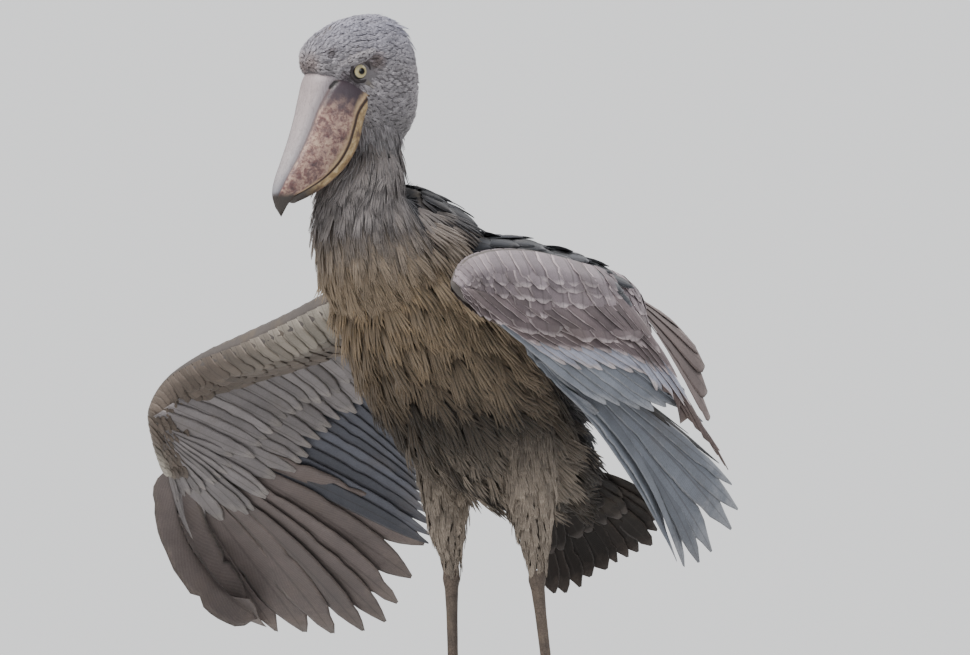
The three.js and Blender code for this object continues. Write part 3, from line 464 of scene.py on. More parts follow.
@dataclass
class FeatherShape:
    """One kind of small feather, as strands or a vane of unit length and half width."""

    name: str
    strands: int = 1
    rows: int = 4
    spread: float = 0.0
    strand_width: float = 1.0
    curl: float = 0.12
    roof: float = 0.12
    outline: tuple[float, ...] = (0.45, 1.0, 0.9, 0.1)

    def build(self) -> bpy.types.Object:
        """Makes the feather with its root at the origin, its tip along Y, its outer face along Z.

        Returns:
            The feather with its place across and along kept as an attribute.
        """
        random = np.random.default_rng(SEED + self.strands * 13 + self.rows)
        points: list[np.ndarray] = []
        marks: list[tuple[float, float, float]] = []
        faces: list[Face] = []
        shares = np.linspace(0.0, 1.0, self.rows)
        for strand in range(self.strands):
            lean = 0.0 if self.strands == 1 else (strand / (self.strands - 1) - 0.5) * 2
            reach = 1.0 - 0.3 * abs(lean) * random.random() - 0.12 * random.random() * (self.strands > 1)
            lift = random.uniform(-0.04, 0.07) * (self.strands > 1)
            base = len(points)
            for index, share in enumerate(shares):
                width = np.interp(share, np.linspace(0, 1, len(self.outline)), self.outline)
                half = 0.5 * width * self.strand_width
                middle = lean * self.spread * (0.35 + 0.65 * share)
                height = self.curl * (share - 1.1 * share ** 2) + lift * share
                for side in (-1.0, 0.0, 1.0):
                    rise = self.roof * (1 - abs(side)) * (1 - 0.6 * share)
                    points.append(np.array([middle + side * half, share * reach, height + rise]))
                    marks.append((lean if self.strands > 1 else side, share, side))
                if index:
                    now, was = base + index * 3, base + (index - 1) * 3
                    faces += [(was, was + 1, now + 1, now), (was + 1, was + 2, now + 2, now + 1),
                              (was + 2, was, now, now + 2)]
            faces.append((base, base + 2, base + 1))
            tip = base + (self.rows - 1) * 3
            faces.append((tip, tip + 1, tip + 2))
        made = new_object(f"shape_{self.name}", np.array(points), faces)
        store_vector(made.data, "vane", np.array(marks))
        return made


LANCE = FeatherShape("lance", strands=5, spread=0.62, strand_width=0.46, curl=0.10, roof=0.02)
SCRUFF = FeatherShape("scruff", strands=6, spread=0.8, strand_width=0.40, curl=0.16, roof=0.022)
ROUND = FeatherShape("round", rows=7, strand_width=1.9, curl=0.16, roof=0.04,
                     outline=(0.35, 0.8, 1.0, 1.0, 0.95, 0.7, 0.12))
SHORT = FeatherShape("short", strands=3, rows=3, spread=0.55, strand_width=0.7, roof=0.06)


@dataclass
class Plumage:
    """Places of many small feathers on one part, gathered before they are made."""

    name: str
    places: list[np.ndarray] = field(default_factory=list)
    turns: list[tuple[float, float, float]] = field(default_factory=list)
    sizes: list[tuple[float, float, float]] = field(default_factory=list)
    colours: list[np.ndarray] = field(default_factory=list)
    rims: list[np.ndarray] = field(default_factory=list)
    homes: list[tuple[float, float, float]] = field(default_factory=list)

    def add(self, root: np.ndarray, along: np.ndarray, out: np.ndarray, size: tuple[float, float],
            dress: Tones, home: tuple[float, float], lift: float) -> None:
        """Adds one feather.

        Args:
            root: Its root, in millimetres.
            along: The way that it lies.
            out: The way out of the skin.
            size: Its half width and length in millimetres.
            dress: Its own colour and the colour of its rim.
            home: Its root's place on the unwrap of the skin.
            lift: How far its tip stands off, in degrees.
        """
        way = unit(along - out * float(np.dot(along, out)))
        tilt = math.radians(lift)
        way, face = (unit(way * math.cos(tilt) + out * math.sin(tilt)),
                     unit(out * math.cos(tilt) - way * math.sin(tilt)))
        across = np.cross(way, face)
        turn = Matrix((across, way, face)).transposed().to_euler("XYZ")
        self.places.append(to_frame(root))
        self.turns.append(tuple(turn))
        self.sizes.append((size[0] * MM, size[1] * MM, size[1] * MM))
        self.colours.append(dress[0])
        self.rims.append(dress[1])
        self.homes.append((home[0], home[1], 0.0))


class FeatherScatter:
    """Sets one shape of feather on gathered places by Geometry Nodes, as plain mesh."""

    def __init__(self) -> None:
        """Builds the node tree once and keeps its inputs' identifiers."""
        tree = bpy.data.node_groups.new("feather_scatter", "GeometryNodeTree")
        self.inputs: dict[str, str] = {}
        for label, kind in (("Geometry", "Geometry"), ("Feather", "Object"), ("Ruffle", "Float"),
                            ("Seed", "Int"), ("Finish", "Material")):
            made = tree.interface.new_socket(label, in_out="INPUT", socket_type=f"NodeSocket{kind}")
            self.inputs[label] = made.identifier
        tree.interface.new_socket("Geometry", in_out="OUTPUT", socket_type="NodeSocketGeometry")
        node = tree.nodes.new
        link = tree.links.new
        given, out = node("NodeGroupInput"), node("NodeGroupOutput")
        shape = node("GeometryNodeObjectInfo")
        link(given.outputs["Feather"], shape.inputs["Object"])
        turn = self.named(tree, "turn")
        size = self.named(tree, "size")
        chance = node("FunctionNodeRandomValue")
        chance.data_type = "FLOAT_VECTOR"
        chance.inputs["Min"].default_value = (-1.0, -1.0, -1.0)
        chance.inputs["Max"].default_value = (1.0, 1.0, 1.0)
        link(given.outputs["Seed"], chance.inputs["Seed"])
        scaled = node("ShaderNodeVectorMath")
        scaled.operation = "SCALE"
        link(chance.outputs["Value"], scaled.inputs[0])
        link(given.outputs["Ruffle"], scaled.inputs["Scale"])
        lay = node("FunctionNodeEulerToRotation")
        link(turn.outputs["Attribute"], lay.inputs["Euler"])
        ruffled = node("FunctionNodeRotateRotation")
        ruffled.rotation_space = "LOCAL"
        stir = node("FunctionNodeEulerToRotation")
        link(scaled.outputs["Vector"], stir.inputs["Euler"])
        link(lay.outputs["Rotation"], ruffled.inputs["Rotation"])
        link(stir.outputs["Rotation"], ruffled.inputs["Rotate By"])
        spread = node("GeometryNodeInstanceOnPoints")
        link(given.outputs["Geometry"], spread.inputs["Points"])
        link(shape.outputs["Geometry"], spread.inputs["Instance"])
        link(ruffled.outputs["Rotation"], spread.inputs["Rotation"])
        link(size.outputs["Attribute"], spread.inputs["Scale"])
        real = node("GeometryNodeRealizeInstances")
        link(spread.outputs["Instances"], real.inputs["Geometry"])
        dress = node("GeometryNodeSetMaterial")
        link(real.outputs["Geometry"], dress.inputs["Geometry"])
        link(given.outputs["Finish"], dress.inputs["Material"])
        link(dress.outputs["Geometry"], out.inputs["Geometry"])
        self.tree = tree

    @staticmethod
    def named(tree: bpy.types.NodeTree, name: str) -> bpy.types.Node:
        """Adds a node that reads a vector attribute by its name."""
        made = tree.nodes.new("GeometryNodeInputNamedAttribute")
        made.data_type = "FLOAT_VECTOR"
        made.inputs["Name"].default_value = name
        return made

    def grow(self, plumage: Plumage, shape: bpy.types.Object, finish: bpy.types.Material,
             ruffle: float) -> bpy.types.Object:
        """Grows the feathers and turns them into one plain mesh.

        Args:
            plumage: The gathered places.
            shape: The feather to set on each.
            finish: Material of the piece.
            ruffle: Random turn of each feather, in radians.

        Returns:
            The finished object.
        """
        cloud = new_object(f"{plumage.name}_places", np.array(plumage.places), [])
        for label, vectors in (("turn", plumage.turns), ("size", plumage.sizes), ("home", plumage.homes)):
            store_vector(cloud.data, label, np.array(vectors))
        for label, tones in (("plume", plumage.colours), ("rim", plumage.rims)):
            store_colour(cloud.data, label, np.array(tones))
        modifier = cloud.modifiers.new("scatter", "NODES")
        modifier.node_group = self.tree
        for label, value in (("Feather", shape), ("Ruffle", ruffle), ("Seed", SEED), ("Finish", finish)):
            modifier[self.inputs[label]] = value
        made = plain_copy(cloud, plumage.name)
        marks = read_vector(made.data, "vane")
        homes = read_vector(made.data, "home")
        offset = np.stack([marks[:, 0] * 0.5, marks[:, 1] - 0.5], axis=1) * TUFT_PATCH
        bake_map(made.data, homes[:, :2] + offset)
        LOG.info("%s: %d feathers, %d faces", plumage.name, len(plumage.places), len(made.data.polygons))
        return made


ATLAS = {
    "torso": (0.02, 0.02, 0.56, 0.40), "neck": (0.02, 0.46, 0.56, 0.18), "head": (0.02, 0.68, 0.40, 0.28),
    "left_thigh": (0.62, 0.02, 0.34, 0.22), "right_thigh": (0.62, 0.28, 0.34, 0.22),
    "left_shoulder": (0.62, 0.54, 0.34, 0.10), "left_brow": (0.62, 0.70, 0.15, 0.08),
    "right_brow": (0.80, 0.70, 0.15, 0.08),
}


def home_of(part: str, share: float, degrees: float) -> tuple[float, float]:
    """Finds a place on the unwrap of the skin.

    Args:
        part: The part's name.
        share: Place along the part.
        degrees: Angle round it.

    Returns:
        The place on the map.
    """
    u, v, wide, tall = ATLAS[part]
    turned = ((degrees + 90.0) % 360.0) / 360.0
    return u + wide * turned, v + tall * min(1.0, max(0.0, share))


@dataclass(frozen=True)
class CoatColours:
    """Colours of the plumage from place to place, with painted shade under the brow, low on the body and on
    the flanks, the same on the skin and on its feathers.
    """

    head: Colour = (0.36, 0.335, 0.355)
    crown: Colour = (0.33, 0.325, 0.40)
    nape: Colour = (0.20, 0.188, 0.19)
    neck: Colour = (0.195, 0.175, 0.172)
    breast: Colour = (0.28, 0.212, 0.145)
    # belly: the plumage's own darker tone low on the body, with painted shade under the body.
    belly: Colour = (0.05, 0.039, 0.03)
    # flank is painted shade: near black on the sides and rear of the body under the wings.
    flank: Colour = (0.026, 0.021, 0.019)
    mantle: Colour = (0.075, 0.078, 0.088)
    thigh: Colour = (0.29, 0.24, 0.195)
    # Patches on the face: forward, out and up of the head's middle, reach and colour. The first two, behind
    # and over the eye, are painted shade under the brow.
    marks: tuple[tuple[float, float, float, float, Colour], ...] = (
        (6, 50, 12, 15, (0.135, 0.10, 0.095)), (26, 50, 15, 9, (0.12, 0.09, 0.09)),
        (52, 44, -16, 13, (0.075, 0.058, 0.068)), (40, 48, -26, 11, (0.075, 0.058, 0.068)),
        (74, 34, 22, 8, (0.09, 0.075, 0.08)), (17, 50, -20, 5, (0.42, 0.37, 0.29)),
        (90, 10, 8, 14, (0.30, 0.245, 0.24)),
    )

    def at(self, place: np.ndarray, front: float, side: float) -> np.ndarray:
        """Gives the colour at a place.

        Args:
            place: The place in millimetres.
            front: How far it faces the front or belly, from 1 to -1 at the back.
            side: How far it faces left, from -1 to 1; not used.

        Returns:
            The colour.
        """
        x, y, z = place
        if z < 505 and abs(x) > 12 and y < 60 and z < 480 - 0.2 * y:
            # The thighs take the belly colour at their top, and with it its painted shade under the body.
            return blend(np.array(self.thigh), np.array(self.belly), (z - 380) / 110)
        if z > 880:
            top = np.clip((z - 985) / 60, 0, 1)
            base = blend(np.array(self.nape), np.array(self.head), (z - 880) / 70)
            base = blend(base, np.array(self.crown), 0.75 * top)
            # The face patches blend in here, the painted shade under the brow among them.
            for ahead, out, up, reach, tone in self.marks:
                for flank in (1, -1):
                    gap = float(np.linalg.norm(place - HEAD.place(ahead, flank * out, up))) / reach
                    base = blend(base, np.array(tone), 0.85 * float(np.clip(1.6 - 1.3 * gap, 0, 1)))
            return base
        lower = np.clip((790 - z) / 90, 0, 1)
        chest = blend(np.array(self.neck), np.array(self.breast), lower)
        # Darker towards the bottom: the belly's own tone with painted shade under the body.
        chest = blend(chest, np.array(self.belly), (630 - z) / 175)
        # Painted shade on the sides and rear of the body under the wings, stronger the further back the skin
        # faces and lies.
        rear = blend(chest, np.array(self.flank), (-front + 0.1) / 0.5 + (y + 60) / 260)
        back = np.clip((-front - 0.25) / 0.3, 0, 1) * np.clip((860 - z) / 90, 0, 1)
        return blend(rear, np.array(self.mantle), back)


COLOURS = CoatColours()


@dataclass
class Flesh:
    """The one skin of the head, neck, body, shoulders and thighs, under all feathers."""

    sink: float = 5.0
    wing_sink: float = 1.5
    head_sink: float = 1.0
    brow_sink: float = 0.5
    voxel: float = 0.0036
    rounds: int = 4
    fine_above: float = 900.0
    fine_pitch: float = 4.0
    coarse_pitch: float = 10.0
    shade: float = 0.8
    arm_tone: Colour = (0.17, 0.15, 0.14)

    def parts(self) -> list[tuple[np.ndarray, list[Face]]]:
        """Gives the closed lofts that the skin is drawn round.

        Returns:
            Points and faces of each.
        """
        lofts = [capped(rings_of(body, 36, 40, -self.sink)) for body in (TORSO, NECK, *THIGHS, LEFT_SHOULDER)]
        lofts.append(capped(rings_of(LEFT_HAND, 36, 40, -self.wing_sink)))
        lofts += [capped(rings_of(brow, 16, 16, -self.brow_sink)) for brow in BROWS.values()]
        (behind, low), (ahead, high) = HEAD.back_pole, HEAD.front_pole
        lofts.append(loft(rings_of(HEAD, 40, 56, -self.head_sink),
                          HEAD.place(behind + self.head_sink, 0, low),
                          HEAD.place(ahead - self.head_sink, 0, high)))
        lofts += [wing.arm(30, -self.wing_sink) for wing in (RIGHT_WING, LEFT_WING)]
        return lofts

    def colour(self, place: np.ndarray) -> np.ndarray:
        """Gives the skin's colour at a place in millimetres.

        Args:
            place: The place.

        Returns:
            The colour.
        """
        if abs(place[0]) > 150 or (place[0] < -110 and place[2] < 700):
            return np.array(self.arm_tone)
        nearest = min((NECK, TORSO), key=lambda body: min(
            float(np.linalg.norm(place - body.station(step / 10)[:3])) for step in range(11)))
        share = min((step / 20 for step in range(21)),
                    key=lambda value: float(np.linalg.norm(place - nearest.station(value)[:3])))
        _, across, front = nearest.axes(share)
        off = unit(place - nearest.station(share)[:3])
        return COLOURS.at(place, float(off @ front), float(off @ across)) * self.shade

    def build(self, finish: bpy.types.Material) -> bpy.types.Object:
        """Joins the lofts into one closed skin.

        Args:
            finish: Material of the skin.

        Returns:
            The skin.
        """
        points: list[np.ndarray] = []
        faces: list[Face] = []
        for places, sides in self.parts():
            base = sum(len(p) for p in points)
            points.append(to_frame(places))
            faces += [tuple(base + corner for corner in face) for face in sides]
        rough = new_object("skin_rough", np.vstack(points), faces)
        skin = even_surface(rough, "skin", self.voxel, self.rounds, finish)
        count = len(skin.data.vertices)
        where = np.zeros(count * 3)
        skin.data.vertices.foreach_get("co", where)
        where = (where.reshape(-1, 3) - FEET_FROM_BODY) / MM
        grid: dict[tuple[int, ...], np.ndarray] = {}
        colours = np.zeros((count, 3))
        for index, place in enumerate(where):
            pitch = self.fine_pitch if place[2] > self.fine_above else self.coarse_pitch
            cell = (*(int(v) for v in np.round(place / pitch)), int(pitch))
            if cell not in grid:
                grid[cell] = self.colour(np.array(cell[:3]) * pitch)
            colours[index] = grid[cell]
        store_colour(skin.data, "plume", colours)
        store_colour(skin.data, "rim", colours * 1.3)
        self.unwrap(skin, where)
        return skin

    def unwrap(self, skin: bpy.types.Object, where: np.ndarray) -> None:
        """Writes the skin's OFBake map from the place along and round each part.

        Args:
            skin: The skin.
            where: Places of its points, in millimetres.
        """
        parts = {"torso": TORSO, "neck": NECK, "left_thigh": THIGHS[0], "right_thigh": THIGHS[1],
                 "left_shoulder": LEFT_SHOULDER}
        steps = [step / LINE_STEPS for step in range(LINE_STEPS + 1)]
        lines = {name: (np.array([body.station(s)[:3] for s in steps]),
                        np.array([body.station(s)[3:5].mean() for s in steps]),
                        np.array([body.axes(s) for s in steps])) for name, body in parts.items()}
        centre = HEAD.place(0, 0, 0)
        head_axes = [HEAD.place(*way) - centre for way in ((1, 0, 0), (0, 1, 0), (0, 0, 1))]
        lines["head"] = (np.array([(HEAD.point(s, 90) + HEAD.point(s, 270)) / 2 for s in steps]),
                         np.full(len(steps), HEAD_REACH), np.array([head_axes] * len(steps)))
        names = list(lines)
        best = np.full(len(where), 1e9)
        owner = np.zeros(len(where), dtype=int)
        shares = np.zeros(len(where))
        degrees = np.zeros(len(where))
        for index, name in enumerate(names):
            line, radius, axes = lines[name]
            gaps = np.linalg.norm(where[:, None, :] - line[None, :, :], axis=2)
            near = gaps.argmin(axis=1)
            far = gaps[np.arange(len(where)), near] / radius[near]
            off = where - line[near]
            up, across = ((off * axes[near, way]).sum(axis=1) for way in (2, 1))
            turn = np.degrees(np.arctan2(up, across))
            better = far < best
            best[better], owner[better] = far[better], index
            shares[better], degrees[better] = near[better] / LINE_STEPS, turn[better]
        places = np.array([home_of(names[o], s, d) for o, s, d in zip(owner, shares, degrees)])
        bake_map(skin.data, places)


@dataclass(frozen=True)
class Fan:
    """A fan of long feathers from a curve of roots to a curve of tips, in millimetres."""

    roots: Rows
    tips: Rows
    count: int
    bow: float = 0.0
    bend: float = 0.02
    sag: tuple[float, float, float] = (0.0, 0.0, 0.0)

    def surface(self, dorsal: tuple[float, float, float], share: float,
                reach: float) -> tuple[np.ndarray, np.ndarray]:
        """Finds a place on the fan and its way out of the upper side.

        Args:
            dorsal: Rough way out of the wing's upper side.
            share: Place across the fan.
            reach: Place from root to tip.

        Returns:
            The place and the outward way.
        """
        roots, tips = np.array(self.roots, dtype=float), np.array(self.tips, dtype=float)
        root, tip = catmull(roots, share), catmull(tips, share)
        low, high = max(0.0, share - 0.02), min(1.0, share + 0.02)
        ends = [catmull(roots, s) + (catmull(tips, s) - catmull(roots, s)) * reach for s in (low, high)]
        way = tip - root
        length = float(np.linalg.norm(way))
        outward = ends[1] - ends[0]
        across = unit(outward - way * float(outward @ way) / length ** 2)
        face = unit(np.cross(way, across))
        face = -face if float(face @ np.array(dorsal)) < 0 else face
        arc = 4 * reach * (1 - reach) * length
        centre = root + way * reach + face * (self.bend * arc) + across * (self.bow * share ** 2 * arc)
        return centre + np.array(self.sag) * (4 * reach * (1 - reach) * share ** 2), face


BLADE_SECTION = (
    (0.0, 0.0), (0.04, 0.5), (0.12, 0.78), (0.35, 1.0), (0.7, 0.62), (1.0, 0.2),
    (1.0, -0.2), (0.7, -0.55), (0.35, -0.85), (0.12, -0.7), (0.04, -0.45),
)
ARM_PROFILE = ((0, 0), (0.04, 0.5), (0.12, 0.78), (0.35, 1), (0.7, 0.62), (1, 0.2), (1.6, -0.3))


@dataclass(frozen=True)
class WingForm:
    """A wing's fleshy arm between its front and rear edges, and its fans of feathers."""

    dorsal: tuple[float, float, float]
    lead: Rows
    trail: Rows
    depth: tuple[float, ...]
    fans: tuple[Fan, ...]
    reach: float = 0.99
    near: float = 0.02
    under: float = 0.87

    def frame(self, share: float) -> tuple[np.ndarray, np.ndarray, np.ndarray, float]:
        """Gives the front edge, chord, upper way and depth at a share of the arm's length.

        Args:
            share: Place along the arm.

        Returns:
            The front edge's place, the chord, the upper way and the depth.
        """
        lead, trail = np.array(self.lead, dtype=float), np.array(self.trail, dtype=float)
        start = catmull(lead, share)
        chord = catmull(trail, share) - start
        here = min(1 - self.near, share)
        span = (catmull(lead, here + self.near) - catmull(lead, here)
                + catmull(trail, here + self.near) - catmull(trail, here))
        face = unit(np.cross(chord, span))
        face = -face if float(face @ np.array(self.dorsal)) < 0 else face
        depth = float(np.interp(share, np.linspace(0, 1, len(self.depth)), self.depth))
        return start, chord, face, depth

    def arm(self, steps: int, grow: float) -> tuple[np.ndarray, list[Face]]:
        """Lofts the fleshy arm.

        Args:
            steps: Steps along it.
            grow: How far its surface is moved outwards, in millimetres.

        Returns:
            Points and faces.
        """
        rings = []
        for step in range(steps + 1):
            start, chord, face, depth = self.frame(self.reach * step / steps)
            rings.append([start + chord * share + face * (height * depth + math.copysign(grow, height))
                          for share, height in BLADE_SECTION])
        return capped(np.array(rings))

    def arm_surface(self, share: float, chord_share: float, side: int) -> tuple[np.ndarray, np.ndarray]:
        """Finds a place on the arm, carried on past its rear edge.

        Args:
            share: Place along the arm.
            chord_share: Place from its front edge to its rear edge.
            side: 1 for its upper side and -1 for its under side.

        Returns:
            The place and the way out of the upper side.
        """
        start, chord, face, depth = self.frame(share)
        high = float(np.interp(chord_share, *zip(*ARM_PROFILE)))
        rise = side * depth * high * (1 if side > 0 else self.under)
        return start + chord * chord_share + face * rise, face


RIGHT_WING = WingForm(
    (-0.3, 0.6, 0.75),
    ((-60, -236, 662), (-120, -240, 645), (-220, -228, 612), (-318, -212, 583), (-427, -189, 556),
     (-484, -186, 528), (-511, -190, 487), (-530, -160, 440), (-558, -104, 391)),
    ((-60, -90, 640), (-150, -88, 606), (-220, -74, 580), (-300, -72, 560), (-410, -102, 520),
     (-470, -134, 480), (-486, -140, 456), (-508, -118, 428), (-540, -72, 386)),
    (30, 30, 28, 26, 20, 18, 16, 13, 8.5),
    (Fan(((-150, -98, 606), (-300, -84, 560), (-410, -112, 520), (-484, -146, 462)),
         ((-154, 106, 440), (-233, 120, 396), (-268, 174, 348), (-316, 226, 286)), 14, bend=0.03),
     Fan(((-487, -146, 458), (-512, -130, 430), (-552, -96, 402)),
         ((-328, 232, 282), (-416, 278, 200), (-501, 311, 160), (-608, 325, 148), (-688, 300, 150),
          (-672, 240, 172)), 10, 0.07, 0.03)),
)
LEFT_WING = WingForm(
    (1, -0.1, 0.25),
    ((196, 74, 650), (206, 20, 684), (212, -67, 702), (204, -181, 722), (194, -270, 718),
     (190, -308, 702), (192, -328, 672)),
    ((238, 60, 612), (262, 10, 606), (256, -60, 608), (240, -180, 618), (222, -258, 630),
     (210, -292, 638), (200, -312, 648)),
    (10, 18, 21, 21, 21, 19, 10),
    (Fan(((196, 0, 680), (216, 18, 664), (240, 26, 640)),
         ((206, 92, 645), (232, 190, 566), (262, 172, 478)), 5),
     Fan(((256, 10, 620), (252, -60, 620), (236, -180, 628), (216, -284, 642)),
         ((280, 196, 400), (272, 180, 430), (262, 134, 488), (250, 59, 488), (232, -30, 498)), 13),
     Fan(((184, -262, 668), (186, -206, 624), (188, -152, 584)),
         ((205, 207, 450), (212, 290, 385), (208, 305, 325), (198, 255, 266), (190, 205, 255),
          (184, 178, 300)), 10, -0.06, sag=(0.0, 46.0, 26.0))),
)
TAIL_FAN = Fan(((40, 118, 410), (0, 128, 402), (-40, 118, 396)),
               ((72, 276, 350), (44, 322, 300), (0, 322, 270), (-28, 300, 256), (-56, 266, 226),
                (-82, 234, 212)), 12, bend=0.03)
TAIL_DORSAL = (0.0, 0.5, 1.0)


@dataclass(frozen=True)
class VaneCut:
    """Shape of one row of long feathers, with lengths as shares of the fan and sizes in millimetres."""

    count: int
    start: float
    end: float
    outline: tuple[float, ...]
    heights: tuple[float, ...]
    rows: int = 9
    columns: int = 4
    side: int = 1
    overlap: float = 1.9
    step: float = 2.1
    thickness: float = 0.8
    shaft: float = 0.8
    ragged: float = 0.05
    whole: bool = False
    limit: float = 90.0


FLIGHT_OUTLINE = (0.42, 0.58, 0.7, 0.79, 0.86, 0.91, 0.95, 0.97, 0.99, 1.0, 1.0, 1.0, 0.99, 0.97, 0.92, 0.8,
                  0.55, 0.1)
COVERT_OUTLINE = (0.5, 0.8, 1.0, 1.0, 0.96, 0.86, 0.2)
ARM_SPAN = (0.02, 0.98)
LOW_COVERTS = (4.5, 5.5, 6.0, 5.5)
RIGHT_MEDIANS = (7.0, 9.5, 10.0, 9.5)


def two_tones(own: Colour, rim: Colour) -> Tones:
    """Gives a feather's own colour and the colour of its rim."""
    return np.array(own), np.array(rim)


def flights(count: int, rows: int, height: float = 0.0, ragged: float = 0.05, limit: float = 90.0) -> VaneCut:
    """Shapes a fan's long flights.

    Args:
        count: How many there are.
        rows: Steps along each.
        height: Height over the fan, in millimetres.
        ragged: How worn their edges are.
        limit: Greatest width in millimetres.

    Returns:
        The shape of the row.
    """
    return VaneCut(count, 0.0, 1.0, FLIGHT_OUTLINE, (height, height), rows=rows, whole=True, ragged=ragged,
                   limit=limit)


def coverts(count: int, start: float, end: float, heights: tuple[float, ...], rows: int = 9, columns: int = 3,
            side: int = 1) -> VaneCut:
    """Shapes a row of coverts over a fan.

    Args:
        count: How many there are.
        start: Where they begin, as a share of the fan.
        end: Where they end.
        heights: Heights over the fan from root to tip, in millimetres.
        rows: Steps along each.
        columns: Steps from the shaft to each edge.
        side: 1 for the upper side and -1 for the under side.

    Returns:
        The shape of the row.
    """
    return VaneCut(count, start, end, COVERT_OUTLINE, heights, rows=rows, columns=columns, side=side)


class VaneRows:
    """Gathers long feathers, each a thin closed vane with a shaft, into one mesh."""

    def __init__(self, name: str) -> None:
        """Starts an empty mesh with a fixed seed.

        Args:
            name: Name of the piece.
        """
        self.name = name
        self.random = np.random.default_rng(SEED + len(name))
        self.points: list[np.ndarray] = []
        self.faces: list[Face] = []
        self.marks: list[tuple[float, float, float]] = []
        self.plumes: list[np.ndarray] = []
        self.rims: list[np.ndarray] = []
        self.homes: list[tuple[float, float]] = []
        self.made = 0

    def row(self, surface: Surface, cut: VaneCut, dress: Dress) -> None:
        """Adds one row of feathers over a surface.

        Args:
            surface: Gives the place and upper way at a share across and a reach from root to tip.
            cut: Shape of the row.
            dress: Gives the colour and rim colour at a share across the row.
        """
        pitch = 1 / max(1, cut.count - 1 if cut.whole else cut.count)
        for index in range(cut.count):
            share = (index + (0 if cut.whole else 0.5)) * pitch
            uneven = 0.09 * (self.random.random() - 0.5) * (not cut.whole or 0.4)
            length = (cut.end - cut.start) * (1 + uneven)
            colour, rim = dress(share)
            vary = 1 + self.random.normal(0, 0.14)
            self.vane(surface, cut, share, pitch, length, (colour * vary, rim * vary))

    def vane(self, surface: Surface, cut: VaneCut, share: float, pitch: float, length: float,
             dress: Tones) -> None:
        """Adds one feather.

        Args:
            surface: Gives the place and upper way at a share across and a reach from root to tip.
            cut: Shape of the row.
            share: The feather's place across the row.
            pitch: Share from feather to feather.
            length: Its length as a share of the fan.
            dress: Its own colour and the colour of its rim.
        """
        base = len(self.points)
        columns = cut.columns * 2
        ring = columns * 2
        notches = self.random.integers(3, cut.rows, size=3)
        skew = self.random.normal(0, 0.05 if cut.whole else 0.17) * pitch
        curl = self.random.normal(0, 1.3)
        for row in range(cut.rows + 1):
            part = row / cut.rows
            reach = cut.start + length * part
            middle, face = surface(share + skew * part, reach)
            beside, _ = surface(share + skew * part + pitch * 0.5, reach)
            gap = float(np.linalg.norm(beside - middle)) * 2
            width = float(np.interp(part, np.linspace(0, 1, len(cut.outline)), cut.outline))
            half = min(width * cut.overlap * pitch, width * cut.limit / max(gap, 1) * pitch) / 2
            high = cut.side * float(np.interp(part, np.linspace(0, 1, len(cut.heights)), cut.heights))
            across = (beside - middle) / (pitch * 0.5)
            sweep = 1.0
            if row in notches and row < cut.rows:
                sweep = 1 - cut.ragged * (1 + 2.5 * self.random.random())
            wobble = 1 + self.random.normal(0, cut.ragged * 0.25)
            top, under = [], []
            for column in range(columns + 1):
                off = (column / columns) * 2 - 1
                edge = off * half * (sweep * wobble if abs(off) > 0.7 else 1)
                rise = (high + off * cut.step * half / pitch + cut.side * 0.8 * (1 - off * off)
                        + cut.side * curl * part ** 3)
                spot = middle + across * edge + face * rise
                thick = cut.thickness * 0.5 * (1 - 0.8 * abs(off))
                thick += cut.shaft * 0.6 * (1 - part) if off == 0 else 0
                top.append((spot + face * thick, off))
                under.append((spot - face * thick, off))
            for spot, off in [*top, *reversed(under[1:-1])]:
                self.points.append(spot)
                self.marks.append((off, part, off))
                self.plumes.append(dress[0])
                self.rims.append(dress[1])
                self.homes.append((off, part))
            if row:
                now, was = base + row * ring, base + (row - 1) * ring
                for corner in range(ring):
                    after = (corner + 1) % ring
                    self.faces.append((was + corner, was + after, now + after, now + corner))
        self.faces.append(tuple(base + corner for corner in reversed(range(ring))))
        self.faces.append(tuple(base + cut.rows * ring + corner for corner in range(ring)))
        self.made += 1

    def build(self, finish: bpy.types.Material) -> bpy.types.Object:
        """Makes the mesh with its attributes and its OFBake map, one island for each feather.

        Args:
            finish: Material of the feathers.

        Returns:
            The object.
        """
        made = new_object(self.name, to_frame(np.array(self.points)), self.faces)
        mesh = made.data
        store_colour(mesh, "plume", np.array(self.plumes))
        store_colour(mesh, "rim", np.array(self.rims))
        store_vector(mesh, "vane", np.array(self.marks))
        side = math.ceil(math.sqrt(max(1, self.made)))
        owners = self.owners()
        cells = np.stack([owners % side, owners // side], axis=1) / side
        marks = np.array(self.homes)
        inner = np.stack([0.5 + 0.45 * marks[:, 0], 0.05 + 0.9 * marks[:, 1]], axis=1) / side
        bake_map(mesh, cells + inner)
        mesh.materials.append(finish)
        turn_outwards(made)
        LOG.info("%s: %d long feathers, %d faces", self.name, self.made, len(mesh.polygons))
        return made

    def owners(self) -> np.ndarray:
        """Gives the feather that each point belongs to, by where a new root begins."""
        parts = np.array([mark[1] for mark in self.marks])
        starts = np.concatenate([[0], (np.diff(parts) < -0.5).astype(int)])
        return np.cumsum(starts)


